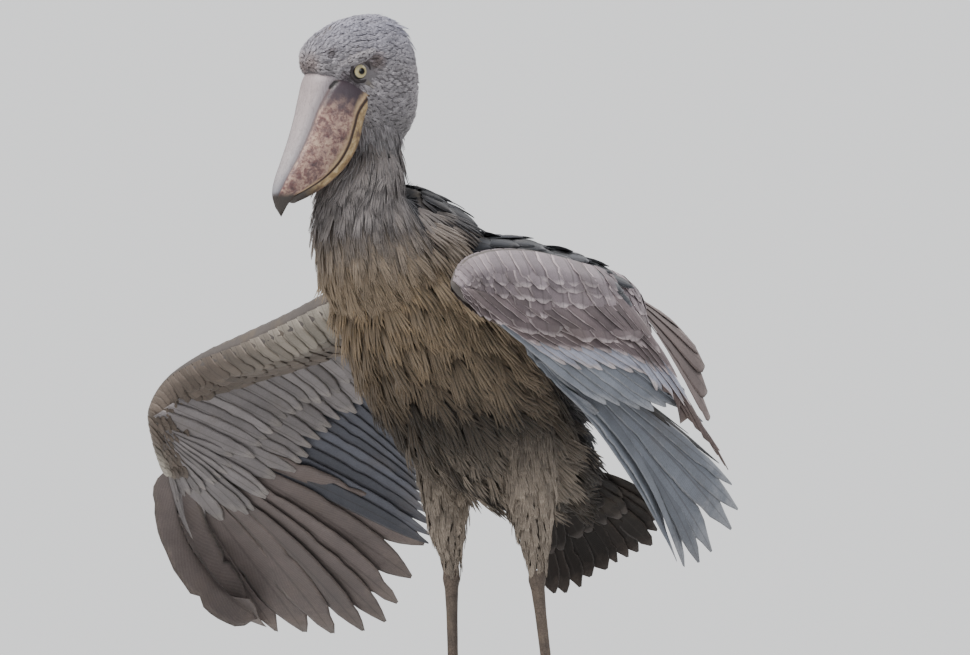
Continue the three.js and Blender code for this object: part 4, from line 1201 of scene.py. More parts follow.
@dataclass(frozen=True)
class BillForm:
    """The bill from sections of ridge, mouth line and lower edge, and its half width.

    Ridge, mouth line and lower edge are each a place forward and up of the head's middle, in millimetres.
    """

    sections: Rows = (
        (58, 16, -6, -30, -18, -58, 43), (87, -9, 14, -42, 2, -64, 49), (96, -40, 33, -63, 9, -82, 51),
        (105, -72, 41, -88, 13, -104, 50), (117, -104, 48, -112, 22, -125, 47),
        (130, -133, 62, -137, 38, -147, 42), (142, -158, 84, -160, 63, -169, 34),
        (148, -176, 108, -176, 92, -186, 25), (149, -189, 124, -187, 115, -196, 15),
        (145, -202, 132, -200, 126, -200, 9),
    )
    hook_tip: tuple[float, float] = (136.0, -216.0)
    upper_root: tuple[float, float] = (24.0, 0.0)
    lower_root: tuple[float, float] = (-24.0, -40.0)
    lower_tip: tuple[float, float] = (126.0, -192.0)
    groove: tuple[float, float] = (2.6, 0.08)                  # depth, half width as a share
    groove_line: Rows = ((0, 0.12, 0.3, 0.6, 1), (0.84, 0.72, 0.52, 0.42, 0.4))
    groove_mark: float = 0.56                                  # what the horn attribute calls the groove
    nostril: tuple[float, float, float] = (0.13, 7.0, 1.5)     # share along, half length, half height
    nostril_depth: float = 3.0
    length: float = 240.0

    def at(self, share: float, last: int) -> np.ndarray:
        """Interpolates a section at a share of the way to the last one."""
        rows = np.array(self.sections[:last + 1], dtype=float)
        return catmull(rows, share)

    def upper(self, finish: bpy.types.Material) -> bpy.types.Object:
        """Builds the upper bill with its ridge, grooves, nostrils and hook.

        Args:
            finish: Its material.

        Returns:
            The object.
        """
        rings, marks = [], []
        depth, width = self.groove
        steps, sides = 110, 60
        for step in range(steps + 1):
            share = step / steps
            ra, ru, ma, mu, _, _, wide = self.at(share, 9)
            tall = math.hypot(ra - ma, ru - mu)
            rise = ((ra - ma) / tall, (ru - mu) / tall)
            ring = []
            place = float(np.interp(share, *self.groove_line))
            for corner in range(sides + 1):
                angle = math.pi * corner / sides
                side, up = math.cos(angle), math.sin(angle)
                dip = depth * math.exp(-(((abs(side) - place) / width) ** 2)) * min(1.0, (1 - share) * 4)
                along = (share - self.nostril[0]) * self.length
                pit = math.exp(-((along / self.nostril[1]) ** 4)
                               - ((abs(side) - place) * wide / self.nostril[2]) ** 2)
                dip += self.nostril_depth * pit
                out = (wide - dip) * math.copysign(abs(side) ** 0.9, side)
                high = (tall - dip) * up ** 0.92
                ring.append(HEAD.place(ma + rise[0] * high, out, mu + rise[1] * high))
                marks.append((share, abs(side) - place + self.groove_mark, high / tall + 10 * round(pit, 3)))
            for inner in (-0.75, -0.4, 0.0, 0.4, 0.75):
                high = 0.03 * tall
                ring.append(HEAD.place(ma + rise[0] * high, inner * wide, mu + rise[1] * high))
                marks.append((share, 1.0, 0.0))
            rings.append(ring)
        return self.finished("upper_bill_horn", rings, (self.upper_root, self.hook_tip), marks, finish)

    def lower(self, finish: bpy.types.Material) -> bpy.types.Object:
        """Builds the lower bill with its rim under the upper one.

        Args:
            finish: Its material.

        Returns:
            The object.
        """
        rings, marks = [], []
        steps, sides = 70, 36
        for step in range(steps + 1):
            share = step / steps
            _, _, ma, mu, ca, cu, wide = self.at(share, 8)
            tall = math.hypot(ma - ca, mu - cu)
            fall = ((ca - ma) / tall, (cu - mu) / tall)
            ring = []
            for corner in range(sides + 1):
                angle = math.pi * corner / sides
                side = math.cos(angle)
                down = tall * math.sin(angle)
                out = wide * 0.95 * math.copysign(abs(side) ** 0.8, side)
                ring.append(HEAD.place(ma + fall[0] * down, out, mu + fall[1] * down))
                marks.append((share, abs(side), math.sin(angle)))
            for inner in (-0.5, 0.5):
                ring.append(HEAD.place(ma, inner * wide, mu))
                marks.append((share, 1.0, 0.0))
            rings.append(ring)
        return self.finished("lower_bill_horn", rings, (self.lower_root, self.lower_tip), marks, finish)

    @staticmethod
    def finished(name: str, rings: list[list[np.ndarray]], poles: tuple[tuple[float, float], ...],
                 marks: list[tuple[float, float, float]], finish: bpy.types.Material) -> bpy.types.Object:
        """Makes one half of the bill with its marks and material.

        Args:
            name: Its name.
            rings: Rings of points along it.
            poles: Its root and its tip, each forward and up.
            marks: Place along, off the groove and up, for each point of the rings.
            finish: Its material.

        Returns:
            The object.
        """
        root, tip = (HEAD.place(ahead, 0, up) for ahead, up in poles)
        points, faces = loft(np.array(rings), root, tip)
        made = new_object(name, to_frame(points), faces)
        store_vector(made.data, "horn", np.array(marks + [(0, 0, 1), (1, 0, 1)]))
        made.data.materials.append(finish)
        turn_outwards(made)
        return made


@dataclass(frozen=True)
class EyeForm:
    """Both eyes and the skin round them, in millimetres from the head's centre."""

    ahead: float = 29.0
    out: float = 38.5
    up: float = -4.0
    radius: float = 15.2
    rim_out: float = 47.5
    rim_radius: float = 14.3
    rim_thickness: float = 2.6
    forward: float = 0.12
    bulge: float = 1.05
    behind: float = 40.0        # what the gaze attribute says on the back of the eye

    def axes(self, side: int) -> tuple[np.ndarray, np.ndarray, np.ndarray]:
        """Gives the way that an eye looks, and the ways across and up from it."""
        origin = HEAD.place(0, 0, 0)
        look = unit((HEAD.place(0, side, 0) - origin) + self.forward * (HEAD.place(1, 0, 0) - origin))
        level = unit(np.cross(look, np.array([0.0, 0.0, 1.0])))
        return look, level, np.cross(level, look)

    def ball(self, side: int, finish: bpy.types.Material) -> bpy.types.Object:
        """Builds one eye with the distance to its axis as an attribute.

        Args:
            side: 1 for the left and -1 for the right.
            finish: Its material.

        Returns:
            The object.
        """
        centre = HEAD.place(self.ahead, side * self.out, self.up)
        look, level, upright = self.axes(side)
        rings, marks = [], []
        for row in range(1, 32):
            turn = math.pi * (1 - row / 32)
            ring = []
            for corner in range(48):
                round_ = 2 * math.pi * corner / 48
                away = level * math.cos(round_) + upright * math.sin(round_)
                bulge = self.bulge if math.cos(turn) > 0.8 else 1.0
                ring.append(centre + self.radius * (look * math.cos(turn) * bulge + away * math.sin(turn)))
                gaze = math.sin(turn) * self.radius if math.cos(turn) > 0 else self.behind
                marks.append((gaze, round_, 0.0))
            rings.append(ring)
        points, faces = loft(np.array(rings), centre - look * self.radius,
                             centre + look * self.radius * self.bulge)
        made = new_object(f"{'left' if side > 0 else 'right'}_eye_ball", to_frame(points), faces)
        store_vector(made.data, "gaze", np.array(marks + [(self.behind, 0, 0), (0.0, 0, 0)]))
        made.data.materials.append(finish)
        turn_outwards(made)
        return made

    def lid(self, side: int, finish: bpy.types.Material) -> bpy.types.Object:
        """Builds the rim of one eye, heavier over its top.

        Args:
            side: 1 for the left and -1 for the right.
            finish: Its material.

        Returns:
            The object.
        """
        look, level, upright = self.axes(side)
        centre = HEAD.place(self.ahead, side * self.rim_out, self.up)
        points, faces = [], []
        turns, rounds = 64, 14
        for step in range(turns):
            angle = 2 * math.pi * step / turns
            away = level * math.cos(angle) + upright * math.sin(angle)
            heavy = self.rim_thickness * (1.0 + 0.75 * max(0.0, math.sin(angle)) + 0.08 * math.sin(9 * angle))
            spot = centre + away * (self.rim_radius + 0.25 * heavy)
            for part in range(rounds):
                turn = 2 * math.pi * part / rounds
                points.append(spot + heavy * (away * math.cos(turn) * 1.1 + look * math.sin(turn) * 0.8))
                now, after = step * rounds + part, step * rounds + (part + 1) % rounds
                ahead = (step + 1) % turns * rounds
                faces.append((now, after, ahead + (part + 1) % rounds, ahead + part))
        made = new_object(f"{'left' if side > 0 else 'right'}_eyelid", to_frame(np.array(points)), faces)
        made.data.materials.append(finish)
        turn_outwards(made)
        return made


Size = Callable[[float, float], tuple[float, float]]
CoatDress = Callable[[np.ndarray, float, float], Tones]
Keep = Callable[[np.ndarray, float, float], bool]


def always(root: np.ndarray, share: float, degrees: float) -> bool:
    """Lets a feather grow anywhere."""
    return True


@dataclass(frozen=True)
class Tint:
    """Dresses feathers in the colour of their place and a paler rim."""

    gain: float
    lift: float
    own: np.ndarray | None = None

    def __call__(self, root: np.ndarray, front: float, side: float) -> Tones:
        """Gives the colour and rim colour at a place that faces front and left."""
        colour = COLOURS.at(root, front, side) if self.own is None else self.own
        return colour, colour * self.gain + self.lift


@dataclass
class Coat:
    """The small feathers of the head, neck, body and thighs, row by row over the skin."""

    random: np.random.Generator = field(default_factory=lambda: np.random.default_rng(SEED))
    unruly: float = 0.22
    sway: float = 0.12
    tone_spread: float = 0.13
    width_spread: float = 0.1
    length_spread: float = 0.12
    near: float = 0.01
    eye: tuple[float, float, float] = (30.0, 47.0, -4.0)
    eye_clear: float = 20.0
    bill_base: tuple[float, float, float] = (86.0, 0.0, -16.0)
    bill_clear: float = 15.0
    brow_shade: float = 0.95

    def over(self, name: str, form: RoundBody | HeadForm, part: str, shares: tuple[float, float],
             spacing: tuple[float, float], size: Size, dress: CoatDress, lift: tuple[float, float],
             keep: Keep = always, forward: int = 1, heart: np.ndarray | None = None,
             seat: float = 1.5) -> Plumage:
        """Lays rows of feathers over a round form.

        Args:
            name: Name of the coat piece.
            form: Form with a point for a share, an angle and a height.
            part: Its place on the unwrap of the skin.
            shares: Where the rows start and end.
            spacing: Millimetres from row to row and from feather to feather.
            size: Gives half width and length at a share and an angle.
            dress: Gives the colour and rim colour at a place, facing front and left.
            lift: Middle and spread of the tips' lift in degrees.
            keep: Tells whether a feather grows at a place, share and angle.
            forward: 1 where feathers point along the form, -1 where they point back.
            heart: A place inside the form that feathers face away from, or none for its own axis.
            seat: How deep the roots sit, in millimetres.

        Returns:
            The gathered places.
        """
        plumage = Plumage(name)
        share = shares[0]
        odd = 0
        while share < shares[1]:
            here, there = form.point(share, 40.0), form.point(min(1.0, share + self.near), 40.0)
            pace = max(1.0, float(np.linalg.norm(there - here))) / self.near
            ring = np.array([form.point(share, a) for a in range(0, 360, 10)])
            girth = float(np.linalg.norm(np.roll(ring, -1, axis=0) - ring, axis=1).sum())
            count = max(4, int(girth / spacing[1]))
            for index in range(count):
                degrees = (index + 0.5 * odd + self.random.normal(0, self.unruly)) * 360 / count
                local = share + self.random.normal(0, self.unruly) * spacing[0] / pace
                local = min(0.999, max(0.0, local))
                root = form.point(local, degrees)
                if not keep(root, local, degrees):
                    continue
                ahead = (form.point(min(1.0, local + self.near), degrees)
                         - form.point(max(0.0, local - self.near), degrees))
                around = form.point(local, degrees + 2) - form.point(local, degrees - 2)
                out = unit(np.cross(around, ahead))
                inside = (form.point(local, 90) + form.point(local, 270)) / 2 if heart is None else heart
                out = -out if float(out @ (root - inside)) < 0 else out
                way = unit(ahead) * forward + unit(around) * self.random.normal(0, self.sway)
                radians = math.radians(degrees)
                colour, rim = dress(root, math.sin(radians), math.cos(radians))
                vary = 1 + self.random.normal(0, self.tone_spread)
                wide, long = size(local, degrees)
                grown = (wide * (1 + self.random.normal(0, self.width_spread)),
                         long * (1 + self.random.normal(0, self.length_spread)))
                plumage.add(root - out * seat, way, out, grown, (colour * vary, rim * vary),
                            home_of(part, local, degrees), lift[0] + self.random.normal(0, lift[1]))
            share += spacing[0] / pace
            odd = 1 - odd
        return plumage

    def neck(self) -> Plumage:
        """Lays the long narrow plumes of the neck."""
        return self.over("neck_plumes", NECK, "neck", (0.02, 0.9), (8.0, 7.5),
                         lambda s, d: (6.2 + 3.5 * s, 40 + 22 * s), Tint(1.22, 0.01), (1.5, 3.0))

    def breast(self) -> Plumage:
        """Lays the scruffy long locks of the breast, belly and flanks.

        Returns:
            The gathered places.
        """
        def dress(root: np.ndarray, front: float, side: float) -> Tones:
            """Gives the locks golden rims on the breast, fading down to the belly."""
            colour = COLOURS.at(root, front, side)
            # The golden rims fade towards the belly: partly the breast's own colour, partly painted shade
            # under the body.
            golden = np.array((0.42, 0.295, 0.17)) * float(np.clip((root[2] - 500) / 190, 0.08, 1))
            return colour, blend(colour * 1.3, golden, 0.65 * max(0.0, front))
        return self.over("breast_locks", TORSO, "torso", (0.0, 0.9), (17.0, 14.0),
                         lambda s, d: (13, 66 - 22 * max(0, s - 0.5)), dress, (4.0, 6.0),
                         keep=lambda p, s, d: math.sin(math.radians(d)) > -0.55)

    def mantle(self) -> Plumage:
        """Lays the rounded slate feathers of the back with their pale fringes."""
        def dress(root: np.ndarray, front: float, side: float) -> Tones:
            """Gives the fringes a browner tone towards the tail."""
            fringe = blend(np.array((0.26, 0.26, 0.28)), np.array((0.15, 0.13, 0.12)), (root[1] + 60) / 160)
            return COLOURS.at(root, front, side), fringe
        return self.over("back_feathers", TORSO, "torso", (0.0, 0.93), (17.0, 19.0),
                         lambda s, d: (15 - 3 * s, 50), dress, (4.0, 2.5),
                         keep=lambda p, s, d: math.sin(math.radians(d)) < -0.4)

    def shoulder(self) -> Plumage:
        """Lays the scapulars over the left shoulder."""
        tones = (np.array(COLOURS.mantle), np.array((0.25, 0.25, 0.27)))
        return self.over("scapular_feathers", LEFT_SHOULDER, "left_shoulder", (0.05, 0.9), (16.0, 16.0),
                         lambda s, d: (15, 56), lambda p, f, s: tones, (4.0, 3.0))

    def head(self) -> Plumage:
        """Lays the short dense feathers of the head, clear of the eyes and the bill's base.

        Returns:
            The gathered places.
        """
        ahead, out, up = self.eye
        eyes = [HEAD.place(ahead, side * out, up) for side in (1, -1)]
        bill = HEAD.place(*self.bill_base)

        def keep(root: np.ndarray, share: float, degrees: float) -> bool:
            """Keeps the feathers clear of the eyes and the bill."""
            if min(float(np.linalg.norm(root - eye)) for eye in eyes) < self.eye_clear:
                return False
            return float(np.linalg.norm(root - bill)) > self.bill_clear

        def dress(root: np.ndarray, front: float, side: float) -> Tones:
            """Gives the down its slow changes of tone."""
            colour = COLOURS.at(root, front, side)
            dark = 1 + 0.16 * math.sin(root[0] * 0.19 + root[2] * 0.11) * math.sin(root[1] * 0.17)
            return colour * dark, colour * 1.3 + 0.03

        plumage = self.over("head_feathers", HEAD, "head", (0.015, 0.995), (4.6, 4.3),
                            lambda s, d: (3.5 - 0.7 * s, 12.5 - 4.0 * s), dress, (4.0, 3.0), keep,
                            forward=-1, heart=HEAD.place(10, 0, -10), seat=0.7)
        pole = HEAD.place(HEAD.front_pole[0], 0, HEAD.front_pole[1])
        for far in (0.05, 0.25, 0.45, 0.65, 0.85):
            count = int(4 + 20 * far)
            for index in range(count):
                degrees = 360 * (index + self.random.random()) / count
                edge = HEAD.point(1.0, degrees)
                root = pole + (edge - pole) * far
                away = unit(root - HEAD.place(60, 0, 12))
                plumage.add(root, edge - pole, away, (2.9, 8.0), dress(root, 0.0, 0.0),
                            home_of("head", 1.0, degrees), 5.0)
        return plumage

    def brow(self, side: int) -> Plumage:
        """Lays the small feathers of one brow."""
        name = "left_brow" if side > 0 else "right_brow"
        return self.over(f"{name}_feathers", BROWS[side], name, (0.02, 0.98), (4.0, 4.0),
                         lambda s, d: (2.4, 8), Tint(1.3, 0.03, np.array(COLOURS.head) * self.brow_shade),
                         (4.0, 3.0), forward=-1, seat=0.2)

    def crest(self) -> Plumage:
        """Lays the longer tufts that stand off the back of the crown."""
        return self.over("crest_tufts", HEAD, "head", (0.12, 0.42), (11.0, 10.0),
                         lambda s, d: (4.5, 24), Tint(1.5, 0.04, np.array(COLOURS.crown)), (6.0, 6.0),
                         keep=lambda p, s, d: abs((d % 360) - 90) < 40, forward=-1)

    def thigh(self, side: str) -> Plumage:
        """Lays the short muddy feathers of one leg, down to its ankle."""
        form = THIGHS[0] if side == "left" else THIGHS[1]
        return self.over(f"{side}_leg_feathers", form, f"{side}_thigh", (0.05, 0.97), (9.0, 9.0),
                         lambda s, d: (8.5 - 4 * s, 38 - 16 * s), Tint(1.35, 0.015), (6.0, 4.0))


Output = bpy.types.NodeSocket


class Graph:
    """Short calls that add and join shader nodes, each giving the output of what it adds."""

    def __init__(self, tree: bpy.types.NodeTree) -> None:
        """Keeps the tree."""
        self.tree = tree

    def node(self, kind: str, **settings: object) -> bpy.types.Node:
        """Adds a node; settings name its properties."""
        made = self.tree.nodes.new(kind)
        for name, value in settings.items():
            setattr(made, name, value)
        return made

    def put(self, target: Output, value: object) -> None:
        """Links an output to a socket, or sets the socket's value."""
        if isinstance(value, bpy.types.NodeSocket):
            self.tree.links.new(value, target)
        else:
            target.default_value = value

    def math(self, operation: str, first: object, second: object = 0.0, clamp: bool = False) -> Output:
        """Works out one sum on values or outputs.

        Args:
            operation: Blender's name of it.
            first: First value or output.
            second: Second value or output.
            clamp: Whether the result is held between 0 and 1.

        Returns:
            The result.
        """
        made = self.node("ShaderNodeMath", operation=operation, use_clamp=clamp)
        self.put(made.inputs[0], first)
        self.put(made.inputs[1], second)
        return made.outputs[0]

    def sum_of(self, value: object, other: object, share: float) -> Output:
        """Adds a share of another value to a value."""
        return self.math("ADD", value, self.math("MULTIPLY", other, share))

    def band(self, value: object, low: float, high: float, to: tuple[float, float] = (0.0, 1.0)) -> Output:
        """Maps a value smoothly from one range to another.

        Args:
            value: The value.
            low: Start of its range.
            high: End of its range.
            to: The range that it gets.

        Returns:
            The new value.
        """
        made = self.node("ShaderNodeMapRange", interpolation_type="SMOOTHSTEP")
        self.put(made.inputs["Value"], value)
        made.inputs["From Min"].default_value, made.inputs["From Max"].default_value = low, high
        made.inputs["To Min"].default_value, made.inputs["To Max"].default_value = to
        return made.outputs["Result"]

    def mix(self, share: object, first: object, second: object) -> Output:
        """Mixes two colours.

        Args:
            share: How much of the second.
            first: First colour or output.
            second: Second colour or output.

        Returns:
            The mixed colour.
        """
        made = self.node("ShaderNodeMix", data_type="RGBA", blend_type="MIX")
        self.put(made.inputs["Factor"], share)
        for socket, value in ((made.inputs[6], first), (made.inputs[7], second)):
            self.put(socket, value if isinstance(value, bpy.types.NodeSocket) else (*value, 1.0))
        return made.outputs[2]

    def noise(self, where: Output, scale: object, detail: float = 3.0, rough: float = 0.55,
              warp: float = 0.0) -> Output:
        """Adds a noise.

        Args:
            where: The place.
            scale: Its scale, a value or an output.
            detail: Its layers.
            rough: Strength of the fine layers.
            warp: Its distortion.

        Returns:
            Its value.
        """
        made = self.node("ShaderNodeTexNoise")
        for label, value in (("Vector", where), ("Scale", scale), ("Detail", detail), ("Roughness", rough),
                             ("Distortion", warp)):
            self.put(made.inputs[label], value)
        return made.outputs["Fac"]

    def ramp(self, value: Output, stops: tuple[tuple[float, Colour], ...]) -> Output:
        """Adds a colour ramp.

        Args:
            value: What it reads.
            stops: Its places and colours.

        Returns:
            The colour.
        """
        made = self.node("ShaderNodeValToRGB")
        self.put(made.inputs["Fac"], value)
        ramp = made.color_ramp
        while len(ramp.elements) < len(stops):
            ramp.elements.new(0.5)
        for element, (place, colour) in zip(ramp.elements, stops):
            element.position = place
            element.color = (*colour, 1.0)
        return made.outputs["Color"]

    def scaled(self, colour: Output, share: Output) -> Output:
        """Makes a colour lighter or darker."""
        made = self.node("ShaderNodeVectorMath", operation="SCALE")
        self.put(made.inputs[0], colour)
        self.put(made.inputs["Scale"], share)
        return made.outputs["Vector"]

    def bump(self, strength: float, distance: float, height: Output) -> Output:
        """Turns a height into a normal.

        Args:
            strength: Strength of the bump.
            distance: Its depth in metres.
            height: The height.

        Returns:
            The normal.
        """
        made = self.node("ShaderNodeBump")
        made.inputs["Strength"].default_value = strength
        made.inputs["Distance"].default_value = distance
        self.put(made.inputs["Height"], height)
        return made.outputs["Normal"]

    def group(self, tree: bpy.types.NodeTree, **inputs: object) -> bpy.types.Node:
        """Adds a shared group; the other names are its inputs."""
        made = self.node("ShaderNodeGroup", node_tree=tree)
        for label, value in inputs.items():
            self.put(made.inputs[label], value)
        return made

    def place(self) -> Output:
        """Reads the place in the object."""
        return self.node("ShaderNodeTexCoord").outputs["Object"]

    def attribute(self, name: str, output: str = "Vector") -> Output:
        """Reads an attribute of the mesh."""
        return self.node("ShaderNodeAttribute", attribute_name=name).outputs[output]

    def parts(self, vector: Output) -> bpy.types.NodeOutputs:
        """Splits a vector into its three numbers."""
        made = self.node("ShaderNodeSeparateXYZ")
        self.put(made.inputs[0], vector)
        return made.outputs


def new_material(name: Finish) -> tuple[bpy.types.Material, Graph, bpy.types.Node]:
    """Starts a material and gives it with its graph and its shader."""
    material = bpy.data.materials.new(name.value)
    material.use_nodes = True
    return material, Graph(material.node_tree), material.node_tree.nodes["Principled BSDF"]


class SharedGroups:
    """Shader node groups that several materials use."""

    def __init__(self) -> None:
        """Builds the groups once."""
        self.vane = self.build_vane()
        self.mud = self.build_mud()

    @staticmethod
    def sockets(name: str, inputs: list[tuple[str, str]],
                outputs: list[tuple[str, str]]) -> tuple[Graph, bpy.types.Node, bpy.types.Node]:
        """Starts a group with named sockets.

        Args:
            name: Its name.
            inputs: Names and kinds of its inputs.
            outputs: Names and kinds of its outputs.

        Returns:
            Its graph, its input node and its output node.
        """
        tree = bpy.data.node_groups.new(name, "ShaderNodeTree")
        for label, kind in inputs:
            tree.interface.new_socket(label, in_out="INPUT", socket_type=f"NodeSocket{kind}")
        for label, kind in outputs:
            tree.interface.new_socket(label, in_out="OUTPUT", socket_type=f"NodeSocket{kind}")
        graph = Graph(tree)
        return graph, graph.node("NodeGroupInput"), graph.node("NodeGroupOutput")

    def build_vane(self) -> bpy.types.NodeTree:
        """Builds the pattern of a feather with its fringe, shaft, barbs and worn mottling.

        Returns:
            The group.
        """
        graph, given, out = self.sockets(
            "vane_pattern",
            [("Plume", "Color"), ("Rim", "Color"), ("Vane", "Vector"), ("Fringe", "Float"),
             ("Barbs", "Float"), ("Mottle", "Float")],
            [("Colour", "Color"), ("Height", "Float"), ("Wear", "Float")])
        _, along, side = graph.parts(given.outputs["Vane"])
        place = graph.place()
        off = graph.math("ABSOLUTE", side)
        edge = graph.math("SUBTRACT", 1.0, given.outputs["Fringe"])
        patchy = graph.math("MULTIPLY", graph.math("SUBTRACT", graph.noise(place, 55, 3), 0.5), 0.35)
        reach = graph.math("MAXIMUM", off, graph.math("POWER", along, 1.6))
        soft = graph.math("SUBTRACT", graph.math("ADD", reach, patchy), edge)
        rim = graph.math("MULTIPLY", soft, 7.0, clamp=True)
        base = graph.mix(rim, given.outputs["Plume"], given.outputs["Rim"])
        shaft = graph.math("SUBTRACT", 1.0, graph.math("MULTIPLY", off, 9.0), clamp=True)
        base = graph.mix(graph.math("MULTIPLY", shaft, 0.45), base, (0.05, 0.042, 0.04))
        phase = graph.math("ADD", graph.math("MULTIPLY", along, 190.0), graph.math("MULTIPLY", off, -46.0))
        barb = graph.math("MULTIPLY", graph.math("SINE", phase), given.outputs["Barbs"])
        fine = graph.noise(place, 420, 4, 0.65)
        broad = graph.noise(place, 26, 4, 0.6)
        shade = graph.math("ADD", graph.math("MULTIPLY", graph.math("SUBTRACT", fine, 0.5), 0.9),
                           graph.math("MULTIPLY", graph.math("SUBTRACT", broad, 0.5), 0.9))
        shade = graph.math("MULTIPLY", shade, given.outputs["Mottle"])
        shade = graph.math("ADD", 1.0, graph.sum_of(shade, barb, 0.16))
        graph.put(out.inputs["Colour"], graph.scaled(base, shade))
        graph.put(out.inputs["Height"], graph.math("ADD", graph.math("MULTIPLY", barb, 0.5), fine))
        graph.put(out.inputs["Wear"], broad)
        return graph.tree

    def build_mud(self) -> bpy.types.NodeTree:
        """Builds the dried mud and dust that lies over plumage and legs.

        Returns:
            The group.
        """
        graph, given, out = self.sockets(
            "dried_mud", [("Colour", "Color"), ("Amount", "Float"), ("Scale", "Float")],
            [("Colour", "Color"), ("Mask", "Float")])
        spots = graph.noise(graph.place(), given.outputs["Scale"], 6.0, 0.65)
        mask = graph.math("MULTIPLY", graph.band(spots, 0.5, 0.68), given.outputs["Amount"])
        graph.put(out.inputs["Colour"], graph.mix(mask, given.outputs["Colour"], (0.20, 0.155, 0.11)))
        graph.put(out.inputs["Mask"], mask)
        return graph.tree


@dataclass(frozen=True)
class FeatherFinish:
    """Finish of one kind of plumage."""

    name: Finish
    fringe: float = 0.2
    barbs: float = 0.4
    mottle: float = 0.5
    mud: float = 0.35
    roughness: float = 0.78
    bump: float = 0.35
    bump_depth: float = 0.0008
    mud_scale: float = 14.0
    sheen: float = 0.12
    sheen_roughness: float = 0.5
    gloss: float = 0.25

    def build(self, groups: SharedGroups) -> bpy.types.Material:
        """Makes the material.

        Args:
            groups: Shared node groups.

        Returns:
            The material.
        """
        material, graph, shader = new_material(self.name)
        vane = graph.group(groups.vane, Plume=graph.attribute("plume", "Color"),
                           Rim=graph.attribute("rim", "Color"), Vane=graph.attribute("vane"),
                           Fringe=self.fringe, Barbs=self.barbs, Mottle=self.mottle)
        mud = graph.group(groups.mud, Colour=vane.outputs["Colour"], Amount=self.mud, Scale=self.mud_scale)
        worn = graph.band(vane.outputs["Wear"], 0.2, 0.8, (self.roughness - 0.12, self.roughness + 0.1))
        for label, value in (
            ("Base Color", mud.outputs["Colour"]), ("Roughness", worn),
            ("Normal", graph.bump(self.bump, self.bump_depth, vane.outputs["Height"])),
            ("Sheen Weight", self.sheen), ("Sheen Roughness", self.sheen_roughness),
            ("Specular IOR Level", self.gloss),
        ):
            graph.put(shader.inputs[label], value)
        return material


